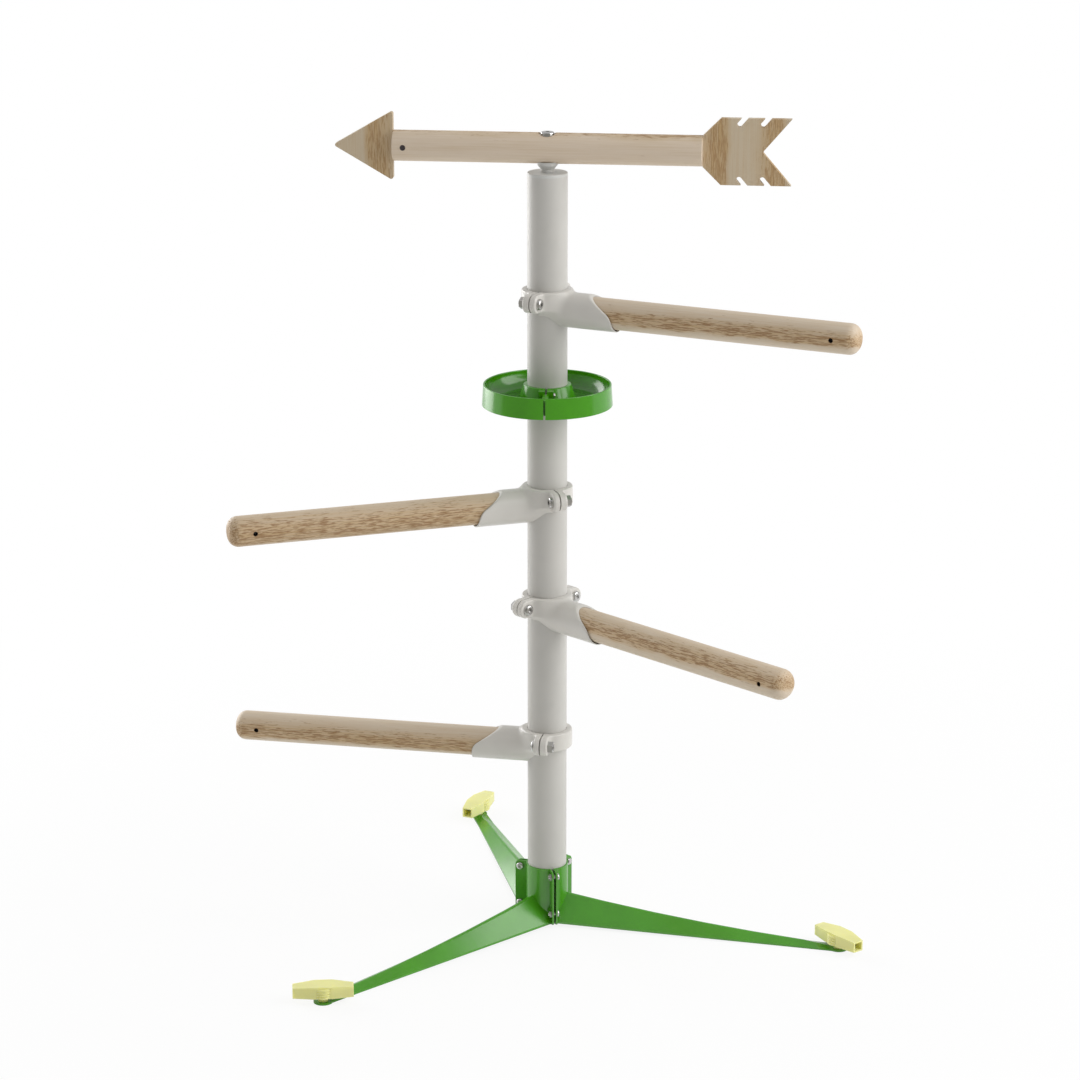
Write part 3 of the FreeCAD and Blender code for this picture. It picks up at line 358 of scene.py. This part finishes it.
def add_painted_trough_shade(material, rim):
    """Paints shade into a ring dish's trough, darker with the depth below the rim's height, and from the
    collar's foot out to the outer wall."""
    tree = material.node_tree
    shader = tree.nodes["Principled BSDF"]
    colour = shader.inputs["Base Color"].links[0].from_socket
    split = add(tree, "ShaderNodeSeparateXYZ")
    feed(tree, split.inputs[0], millimetres(tree))
    radius = distance(tree, split.outputs["X"], split.outputs["Y"])
    past_foot = smooth_step(tree, radius, *TROUGH_START)
    past_wall = smooth_step(tree, radius, *TROUGH_END)
    depth = math_node(tree, "SUBTRACT", rim * PER_METRE, split.outputs["Z"])
    within = math_node(tree, "SUBTRACT", past_foot, past_wall)
    shade = math_node(tree, "MULTIPLY", smooth_step(tree, depth, *TROUGH_DEPTH), within)
    share = math_node(tree, "MULTIPLY", shade, TROUGH_PAINTED_SHADE_MOST)
    feed(tree, shader.inputs["Base Color"], mix_colour(tree, share, colour, TROUGH_PAINTED_SHADE_GREEN))


def translucent(material, depth):
    """Lets light into a moulded plastic, to a depth in millimetres."""
    shader = material.node_tree.nodes["Principled BSDF"]
    shader.inputs["Subsurface Weight"].default_value = 0.5
    shader.inputs["Subsurface Radius"].default_value = (1.0, 0.95, 0.5)
    shader.inputs["Subsurface Scale"].default_value = depth * MM


def plated(name, colour, roughness):
    """Bright plated steel with a clouded gloss and faint scratches."""
    material, tree, shader = new_material(name)
    skin = placed_group(tree, METAL, Vector=millimetres(tree))
    feed(tree, shader.inputs["Base Color"],
         mix_colour(tree, skin["Tone"], shaded(colour, 0.86), shaded(colour, 1.08)))
    shader.inputs["Metallic"].default_value = 1.0
    gloss = math_node(tree, "MULTIPLY_ADD", skin["Scratch"], 0.16, roughness - 0.08)
    feed(tree, shader.inputs["Roughness"], gloss)
    bump(tree, shader, skin["Scratch"], 0.25, 0.03 * MM)
    return material


def timber(name, turn, shift, ring_width, pale, deep, pore, heart=None):
    """Oiled open-pored wood with its grain turned along the piece; a rod that has its heart given
    has painted shade inside its cross hole."""
    material, tree, shader = new_material(name)
    vector = millimetres(tree, turn, shift)
    grain = placed_group(tree, TIMBER, Vector=vector, Ring_Width=ring_width,
                         Pale=pale, Deep=deep, Pore=pore)
    colour = grain["Color"]
    if heart:
        # Painted shade inside the cross hole
        hole = placed_group(tree, HOLE, Vector=vector, Side=heart[0], Rise=heart[1], Place=HOLE_PLACE)
        colour = mix_colour(tree, hole["Shade"], colour, HOLE_PAINTED_SHADE)
    feed(tree, shader.inputs["Base Color"], colour)
    feed(tree, shader.inputs["Roughness"], grain["Roughness"])
    bump(tree, shader, grain["Height"], 0.25, 0.2 * MM)
    return material


def linked(name, data):
    """A new object in the scene."""
    piece = bpy.data.objects.new(name, data)
    bpy.context.scene.collection.objects.link(piece)
    return piece


def dress(node, material):
    """A node's finish."""
    mesh = NODES[node].data
    mesh.materials.clear()
    mesh.materials.append(material)


# Finishes of the solids
pole_coat = coated("pole_powder_coat", POLE_GREY,
                   roughness=0.42, grain_size=0.55, relief=0.10, contrast=0.02)
cap_plastic = coated("cap_moulded_grey", CAP_GREY,
                     roughness=0.40, grain_size=0.5, relief=0.08, contrast=0.02)
bracket_plastic = coated("bracket_moulded_grey", BRACKET_GREY,
                         roughness=0.30, grain_size=0.45, relief=0.06, contrast=0.02)
leg_coat = coated("leg_powder_coat_green", LEAF_GREEN,
                  roughness=0.24, grain_size=0.6, relief=0.06, contrast=0.06, sheen=1.7)
dish_plastic = coated("dish_moulded_green", DISH_GREEN,
                      roughness=0.17, grain_size=0.7, relief=0.02, contrast=0.05, sheen=1.6)
# Painted shade down the dish's trough, growing with the depth below its rim
add_painted_trough_shade(dish_plastic, rim=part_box("dish_left")[1].z)
peg_plastic = coated("peg_moulded_yellow", PEG_YELLOW,
                     roughness=0.42, grain_size=0.5, relief=0.08, contrast=0.03)
translucent(peg_plastic, depth=6.0)
sleeve_rubber = coated("sleeve_rubber_grey", RUBBER,
                       roughness=0.70, grain_size=0.8, relief=0.2, contrast=0.10)
pin_wood = coated("pin_dark", PIN_DARK,
                  roughness=0.55, grain_size=0.7, relief=0.2, contrast=0.12)
fastener_steel = plated("fastener_plated_steel", STEEL, roughness=0.24)
nut_steel = plated("nut_plated_steel", STEEL, roughness=0.42)

dress("pole", pole_coat)
for node in ("pole_cap", "pole_foot", "vane_bush"):
    dress(node, cap_plastic)
for node in ("base_bolts", "base_nuts", "pivot_bolt", "pivot_washer", "dish_screws"):
    dress(node, fastener_steel)
for node in ("dish_left", "dish_right"):
    dress(node, dish_plastic)
for leg in LEGS:
    dress(f"leg_{leg}", leg_coat)
    dress(f"peg_{leg}", peg_plastic)
dress("vane_pin", pin_wood)


# Place in the log, from its centre to the rod's axis, and ring width of each rod, in mm
PERCH_GRAIN = {
    "top": ((14.0, 85.4), 42.0),
    "upper": ((-10.0, 149.2), 70.0),
    "lower": ((16.0, 84.0), 44.0),
    "bottom": ((-12.0, 108.8), 52.0),
}
SHAFT_GRAIN = ((18.0, 118.1), 70.0)

# Shift to the log's centre and ring width of the arrow's plates, in mm, with their grain upright
PLATE_GRAIN = {
    "vane_head": ((0.0, 8.0, -368.5), 75.0),
    "vane_tail": ((0.0, 8.0, 635.0), 70.0),
}
PLATE_TURN = (Matrix.Rotation(math.radians(90.0), 3, "Y")
              @ Matrix.Rotation(-math.radians(VANE_HEADING), 3, "Z")).to_euler("XYZ")


def axis_height(node):
    """Height of a level rod's axis, in metres."""
    low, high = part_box(node)
    return (low.z + high.z) / 2


def rod_timber(name, node, heading, grain, pale, deep, holed):
    """Timber of a rod whose axis points at a heading, with its grain along the axis."""
    heart, ring_width = grain
    side, rise = heart
    turn = (0.0, 0.0, -math.radians(heading))
    shift = (0.0, side, rise - axis_height(node) * PER_METRE)
    return timber(name, turn, shift, ring_width, pale, deep, WOOD_PORE, heart if holed else None)


for perch in PERCHES:
    rod = f"perch_rod_{perch}"
    dress(rod, rod_timber(f"perch_timber_{perch}", rod, PERCH_HEADING[perch], PERCH_GRAIN[perch],
                          WOOD_PALE, WOOD_DEEP, holed=True))
    for piece in ("bracket_bolts", "perch_screw"):
        dress(f"{piece}_{perch}", fastener_steel)
    dress(f"bracket_nuts_{perch}", nut_steel)
    dress(f"grip_sleeve_{perch}", sleeve_rubber)

dress("vane_shaft", rod_timber("vane_timber", "vane_shaft", VANE_HEADING, SHAFT_GRAIN,
                               SHAFT_PALE, SHAFT_DEEP, holed=False))
for plate, (plate_shift, plate_rings) in PLATE_GRAIN.items():
    dress(plate, timber(f"{plate}_timber", PLATE_TURN, plate_shift, plate_rings,
                        PLATE_PALE, PLATE_DEEP, PLATE_PORE))


# Bracket halves: flowing moulded forms in millimetres about the crossing of the pole's and the rod's
# axes, with X along the rod and Z up the pole

BAND_RADIUS = 32.12
EAR_OFFSET = 41.62
EAR_RADIUS = 11.5
EAR_RISE = 12.5
EAR_FRONT = 8.0
EAR_BACK = 9.5
SPLIT = 0.8
CLAMP_BORE = 26.62
TUBE_RADIUS = 22.0
FLARE = 13.0
FLARE_LENGTH = 34.0
MOUTH_MIDDLE = 93.82
MOUTH_UPPER_SLOPE = 1.568
MOUTH_LOWER_SLOPE = 0.136
ROD_START = 29.82
ROD_BORE = 20.1
ROD_BORE_DROP = 0.8
SCREW_PLACE = 75.82
SCREW_BORE = 4.2
SLEEVE_HALF = 10.55
LIP_BORE = 25.35
BORE_REACH = 60.0

# Points inside each half from which its surface is measured out, the farthest that it can be, and how often
# that distance is halved to find it
FRONT_CENTRE = (-14.0, 0.0, 6.0)
REAR_CENTRE = (-10.0, 0.0, EAR_RISE)
CAST_REACH = 170.0
HALVINGS = 36

# Reaches of the fillets and rounds between those forms
EDGE_ROUND = 2.0
EAR_FILLET = 6.0
TUBE_FILLET = 8.0
MOUTH_ROUND = 6.0
RIM_ROUND = 1.6

# Points round each form and round a bore, and rows along a form up to the mouth and across the mouth
AROUND = 224
BORE_AROUND = 160
ROWS = 120
MOUTH_ROWS = 30

# Edges sharper than this stay sharp
SHARP_EDGE = math.radians(36.0)


def smooth_min(first, second, reach):
    """Union with a fillet: min(a, b) - h^2 k / 4 with h = max(k - |a - b|, 0) / k and k the reach."""
    share = np.maximum(reach - np.abs(first - second), 0.0) / reach
    return np.minimum(first, second) - share * share * reach / 4


def smooth_max(first, second, reach):
    """Overlap with a round edge: the negative of the filleted union of the negatives."""
    return -smooth_min(-first, -second, reach)


def rounded_overlap(first, second):
    """Overlap with a round edge of radius r: min(max(a, b), 0) + |(max(a, 0), max(b, 0))| - r, where
    a and b are the two forms moved in by r."""
    a, b = first + EDGE_ROUND, second + EDGE_ROUND
    outside = np.hypot(np.maximum(a, 0.0), np.maximum(b, 0.0))
    return np.minimum(np.maximum(a, b), 0.0) + outside - EDGE_ROUND


def clamp_form(x, y, z, front):
    """Band and ears: their filleted plan within the round-ended side view."""
    plan = smooth_min(np.hypot(x, y) - BAND_RADIUS, x - front, EAR_FILLET)
    side = np.hypot(np.maximum(np.abs(y) - EAR_OFFSET, 0.0), z - EAR_RISE) - EAR_RADIUS
    return rounded_overlap(plan, side)


def rear_form(x, y, z):
    """Rear half: band and ears alone."""
    return clamp_form(x, y, z, EAR_BACK)


def tube_form(x, y, z):
    """Tube along X that widens by the pole: |(y / w, z)| - R with w = 1 + f (1 + z / R) / (2 R)
    and f = F (1 - x / L)^2 up to x = L, 0 beyond."""
    flare = FLARE * np.clip(1 - x / FLARE_LENGTH, 0.0, 1.0) ** 2
    wide = 1 + flare * (1 + z / TUBE_RADIUS) / (2 * TUBE_RADIUS)
    return np.hypot(y / wide, z) - TUBE_RADIUS


def long_front_form(x, y, z):
    """Front half before its mouth is cut."""
    return smooth_min(clamp_form(x, y, z, EAR_FRONT), tube_form(x, y, z), TUBE_FILLET)


def mouth_form(x, y, z):
    """Two planes, slanted and steep, that meet on the rod's axis in a round corner: each is
    (x - m + s z) / |(1, s)| with its slope s."""
    upper = (x - MOUTH_MIDDLE + MOUTH_UPPER_SLOPE * z) / math.hypot(1.0, MOUTH_UPPER_SLOPE)
    lower = (x - MOUTH_MIDDLE + MOUTH_LOWER_SLOPE * z) / math.hypot(1.0, MOUTH_LOWER_SLOPE)
    return smooth_max(upper, lower, MOUTH_ROUND)


def front_form(x, y, z):
    """Front half cut off at its mouth, with a round rim."""
    return smooth_max(long_front_form(x, y, z), mouth_form(x, y, z), RIM_ROUND)


def cast(form, centre, direction):
    """Points where rays from a centre leave a form: form(c + t d) = 0 by halving t from 0 to the reach."""
    near = np.zeros(direction.shape[1:])
    far = np.full(direction.shape[1:], CAST_REACH)
    start = np.reshape(centre, (3,) + (1,) * near.ndim)
    for _ in range(HALVINGS):
        middle = (near + far) / 2
        inside = form(*(start + middle * direction)) < 0
        near = np.where(inside, middle, near)
        far = np.where(inside, far, middle)
    return start + far * direction


def ray_directions(lean, turn):
    """Unit vectors at an angle lean from X, turned about X from Y towards Z."""
    side = np.sin(lean)
    return np.stack(np.broadcast_arrays(np.cos(lean), side * np.cos(turn), side * np.sin(turn)))


def turns_about_rod():
    """Angles about X, closest together towards the two ears: t - 0.35 sin 2t."""
    even = np.linspace(0.0, 2 * np.pi, AROUND, endpoint=False)
    return even - 0.35 * np.sin(2 * even)


def split_lean(form, centre, turn):
    """Lean of the rays that meet the form's edge in the plane of the split."""
    flat = cast(form, (SPLIT, 0.0, centre[2]), ray_directions(np.pi / 2, turn))
    return np.arctan2(np.hypot(flat[1], flat[2] - centre[2]), SPLIT - centre[0])


def rim_lean(centre, turn):
    """Lean of the rays that meet the mouth's rim."""
    lean = np.radians(np.linspace(30.0, 6.0, 480))
    body = cast(long_front_form, centre, ray_directions(lean[:, None], turn[None, :]))
    before = np.sum(mouth_form(*body) < 0, axis=0)
    return (lean[before - 1] + lean[before]) / 2


def row_leans(first, last):
    """Leans from first to last in rows even in cot(lean) / 4.7 - lean, closer together at the last."""
    table = np.radians(np.linspace(89.0, 4.0, 2000))
    place = 1 / np.tan(table) / 4.7 - table
    low, high = np.interp(-first, -table, place), np.interp(-last, -table, place)
    share = 1 - (1 - np.linspace(0.0, 1.0, ROWS)) ** 1.5
    return -np.interp(low + (high - low) * share[:, None], place, -table)


def closed_grid(name, points, tip):
    """Mesh of rows of points about X, the first row closed by a flat face and the last by a tip."""
    rows, columns = points.shape[1:]
    ring = np.arange(columns)
    beside = np.roll(ring, -1)
    base = np.arange(rows - 1)[:, None] * columns
    quads = np.stack([base + ring, base + beside, base + columns + beside, base + columns + ring], axis=-1)
    last = (rows - 1) * columns
    fan = np.stack([last + ring, last + beside, np.full(columns, rows * columns)], axis=-1)
    faces = quads.reshape(-1, 4).tolist() + fan.tolist() + [ring[::-1].tolist()]
    mesh = bpy.data.meshes.new(name)
    mesh.from_pydata(np.vstack([points.reshape(3, -1).T, tip]).tolist(), [], faces)
    return mesh


def front_mesh():
    """Front half as r(lean, turn): rows from the split to the mouth's rim, then across the mouth."""
    turn = turns_about_rod()
    rim = rim_lean(FRONT_CENTRE, turn)
    along = row_leans(split_lean(front_form, FRONT_CENTRE, turn), rim)
    across = rim * (1 - np.linspace(0.0, 1.0, MOUTH_ROWS, endpoint=False)[1:, None] ** 1.6)
    lean = np.vstack([along, across])
    points = cast(front_form, FRONT_CENTRE, ray_directions(lean, turn[None, :]))
    tip = cast(front_form, FRONT_CENTRE, ray_directions(np.zeros(1), np.zeros(1)))
    return closed_grid("bracket_front", points, tip.T)


def rear_mesh():
    """Rear half as r(lean, turn), made facing +X."""
    turn = turns_about_rod()
    first = split_lean(rear_form, REAR_CENTRE, turn)
    lean = first * (1 - np.linspace(0.0, 1.0, ROWS, endpoint=False)[:, None])
    points = cast(rear_form, REAR_CENTRE, ray_directions(lean, turn[None, :]))
    tip = cast(rear_form, REAR_CENTRE, ray_directions(np.zeros(1), np.zeros(1)))
    return closed_grid("bracket_rear", points, tip.T)


def round_bar(name, stations, drop=0.0):
    """Turned bar along X, (x, r cos t, r sin t - drop) at stations (x, r), with flat ends."""
    turn = np.linspace(0.0, 2 * np.pi, BORE_AROUND, endpoint=False)
    x, radius = np.array(stations).T[:, :, None]
    points = np.stack(np.broadcast_arrays(x, radius * np.cos(turn), radius * np.sin(turn) - drop))
    return closed_grid(name, points, [[stations[-1][0], 0.0, -drop]])


def carved(name, mesh, cutters):
    """A mesh less its cutters, smooth but for its edges."""
    piece = linked(name, mesh)
    tools = [linked(cutter.name, cutter) for cutter in cutters]
    for tool in tools:
        step = piece.modifiers.new(tool.name, "BOOLEAN")
        step.operation = "DIFFERENCE"
        step.solver = "EXACT"
        step.object = tool
    bpy.context.view_layer.update()
    result = bpy.data.meshes.new_from_object(piece.evaluated_get(bpy.context.evaluated_depsgraph_get()))
    for spent in [piece] + tools:
        bpy.data.objects.remove(spent)
    result.shade_smooth()
    result.set_sharp_from_angle(angle=SHARP_EDGE)
    return result


def bracket_meshes():
    """Both halves, bored for the pole with a lip over the sleeve's ends. The front half is bored for
    the rod and drilled from below for the screw as well."""
    upright = Matrix.Rotation(math.radians(-90.0), 4, "Y")
    low, high = EAR_RISE - SLEEVE_HALF, EAR_RISE + SLEEVE_HALF
    pole_bore = round_bar("pole_bore", [
        (-BORE_REACH, LIP_BORE), (low, LIP_BORE), (low, CLAMP_BORE),
        (high, CLAMP_BORE), (high, LIP_BORE), (BORE_REACH, LIP_BORE)])
    pole_bore.transform(upright)
    rod_bore = round_bar("rod_bore", [(ROD_START, ROD_BORE), (2 * MOUTH_MIDDLE, ROD_BORE)], ROD_BORE_DROP)
    screw_hole = round_bar("screw_hole", [(-2 * TUBE_RADIUS, SCREW_BORE), (-ROD_BORE, SCREW_BORE)])
    screw_hole.transform(Matrix.Translation((SCREW_PLACE, 0.0, 0.0)) @ upright)
    front = carved("bracket_front_whole", front_mesh(), [screw_hole, pole_bore, rod_bore])
    rear = carved("bracket_rear_whole", rear_mesh(), [pole_bore])
    return front, rear


def bracket_piece(node, body, mesh, place):
    """A half set at its place on the pole, in metres, instead of a node."""
    copy = mesh.copy()
    copy.transform(place @ Matrix.Scale(MM, 4))
    copy.materials.clear()
    copy.materials.append(bracket_plastic)
    piece = linked(f"{node}_form", copy)
    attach(piece, body)
    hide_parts(node)


FRONT_MESH, REAR_MESH = bracket_meshes()
for perch in PERCHES:
    rise = Matrix.Translation((0.0, 0.0, axis_height(f"perch_rod_{perch}")))
    forward = rise @ Matrix.Rotation(math.radians(PERCH_HEADING[perch]), 4, "Z")
    bracket_piece(f"bracket_socket_{perch}", f"perch_{perch}", FRONT_MESH, forward)
    bracket_piece(f"bracket_clamp_{perch}", f"perch_{perch}", REAR_MESH,
                  forward @ Matrix.Rotation(math.pi, 4, "Z"))


# Floor, light and camera

# Floor: half its side in metres, the share of plain white in its look under the object and far from it, and
# the distances between which the one goes over into the other
FLOOR_HALF = 40.0
WHITE_UNDER = 0.88
WHITE_FAR = 1.0
WHITE_FADE = (0.4, 1.5)

# Where reflections of the floor grow dim towards the camera, in metres from the pole
FLOOR_DIM = (0.0, 0.5)

# Surroundings: their strength as light, where they grow dim towards the camera and clear up with height, by
# the parts of a direction of length 1, and how much farther up they clear in reflections
FILL = 0.62
SIDE_DIM = (0.0, 0.9)
CLEAR_UP = (0.3, 0.75)
MIRROR_CLEAR = 0.25

# What the lamps are turned to
LAMP_AIM = (0.0, 0.0, 0.55)


def toward_camera(tree, vector):
    """How far a place or a direction lies on the camera's side."""
    node = add(tree, "ShaderNodeVectorMath", operation="DOT_PRODUCT")
    feed(tree, node.inputs[0], vector)
    node.inputs[1].default_value = Vector((CAMERA_PLACE[0], CAMERA_PLACE[1], 0.0)).normalized()
    return node.outputs["Value"]


def background_rays(tree):
    """1 for rays that show the background, 0 for rays that only light it; and 1 for mirrored rays."""
    path = add(tree, "ShaderNodeLightPath")
    seen = math_node(tree, "MAXIMUM", path.outputs["Is Camera Ray"], path.outputs["Is Transmission Ray"])
    return seen, path.outputs["Is Glossy Ray"]


def white_floor():
    """Pale floor that reads as white to the camera, keeps a soft shadow and is dimmer in reflections
    of the camera's side."""
    mesh = bpy.data.meshes.new("floor")
    corners = [(x * FLOOR_HALF, y * FLOOR_HALF, 0.0) for x, y in ((-1, -1), (1, -1), (1, 1), (-1, 1))]
    mesh.from_pydata(corners, [], [(0, 1, 2, 3)])
    material, tree, shader = new_material("floor_white")
    shader.inputs["Base Color"].default_value = FLOOR_WHITE
    shader.inputs["Roughness"].default_value = 0.9
    shader.inputs["Specular IOR Level"].default_value = 0.1
    seen, glossy = background_rays(tree)
    place = add(tree, "ShaderNodeTexCoord").outputs["Object"]
    away = add(tree, "ShaderNodeVectorMath", operation="LENGTH")
    tree.links.new(place, away.inputs[0])
    far = smooth_step(tree, away.outputs["Value"], *WHITE_FADE)
    shown = math_node(tree, "MAXIMUM", seen, glossy)
    white = math_node(tree, "MULTIPLY_ADD", far, WHITE_FAR - WHITE_UNDER, WHITE_UNDER)
    share = math_node(tree, "MULTIPLY", shown, white)
    before = smooth_step(tree, toward_camera(tree, place), *FLOOR_DIM)
    glow = add(tree, "ShaderNodeEmission")
    dimmed = math_node(tree, "MULTIPLY", before, glossy)
    feed(tree, glow.inputs["Color"], mix_colour(tree, dimmed, PURE_WHITE, CAMERA_SIDE))
    mix = add(tree, "ShaderNodeMixShader")
    tree.links.new(share, mix.inputs[0])
    tree.links.new(shader.outputs[0], mix.inputs[1])
    tree.links.new(glow.outputs[0], mix.inputs[2])
    tree.links.new(mix.outputs[0], tree.nodes["Material Output"].inputs["Surface"])
    mesh.materials.append(material)
    linked("floor", mesh)


def white_world():
    """White surroundings: the fill lights the object, and the background shows at strength 1. Low down
    on the camera's side the light is dimmer, and the reflections are so farther up."""
    world = bpy.data.worlds.new("studio")
    bpy.context.scene.world = world
    world.use_nodes = True
    tree = world.node_tree
    shader = tree.nodes["Background"]
    seen, glossy = background_rays(tree)
    direction = add(tree, "ShaderNodeTexCoord").outputs["Generated"]
    split = add(tree, "ShaderNodeSeparateXYZ")
    tree.links.new(direction, split.inputs[0])
    near = smooth_step(tree, toward_camera(tree, direction), *SIDE_DIM)
    height = math_node(tree, "MULTIPLY_ADD", glossy, -MIRROR_CLEAR, split.outputs["Z"])
    low = math_node(tree, "SUBTRACT", 1.0, smooth_step(tree, height, *CLEAR_UP))
    unseen = math_node(tree, "SUBTRACT", 1.0, add(tree, "ShaderNodeLightPath").outputs["Is Camera Ray"])
    dimmed = math_node(tree, "MULTIPLY", math_node(tree, "MULTIPLY", near, low), unseen)
    feed(tree, shader.inputs["Color"], mix_colour(tree, dimmed, PURE_WHITE, CAMERA_SIDE))
    feed(tree, shader.inputs["Strength"], math_node(tree, "MULTIPLY_ADD", seen, 1.0 - FILL, FILL))


def soft_lamp(name, turn, rise, reach, size, power):
    """A square soft lamp, turn degrees round the object from the camera's side and rise degrees up."""
    bearing = math.radians(turn) + CAMERA_HEADING
    lift = math.radians(rise)
    away = Vector((math.sin(bearing) * math.cos(lift), -math.cos(bearing) * math.cos(lift), math.sin(lift)))
    lamp = bpy.data.lights.new(name, "AREA")
    lamp.shape = "SQUARE"
    lamp.size = size
    lamp.energy = power
    piece = linked(name, lamp)
    piece.location = Vector(LAMP_AIM) + away * reach
    piece.rotation_euler = (-away).to_track_quat("-Z", "Y").to_euler()


def photo_camera():
    """Camera at its place, with its heading about Z and its pitch below level."""
    camera = bpy.data.cameras.new("photo_camera")
    camera.lens = CAMERA_LENS
    camera.sensor_width = CAMERA_SENSOR
    camera.clip_end = 200.0
    piece = linked("photo_camera", camera)
    piece.location = CAMERA_PLACE
    piece.rotation_euler = (math.pi / 2 - CAMERA_PITCH, 0.0, CAMERA_HEADING)
    bpy.context.scene.camera = piece


white_floor()
white_world()
soft_lamp("right_softbox", turn=74.0, rise=28.0, reach=3.2, size=2.8, power=68.0)
soft_lamp("left_back_softbox", turn=-130.0, rise=10.0, reach=3.2, size=2.4, power=64.0)
photo_camera()
bpy.context.scene.view_settings.view_transform = "Standard"
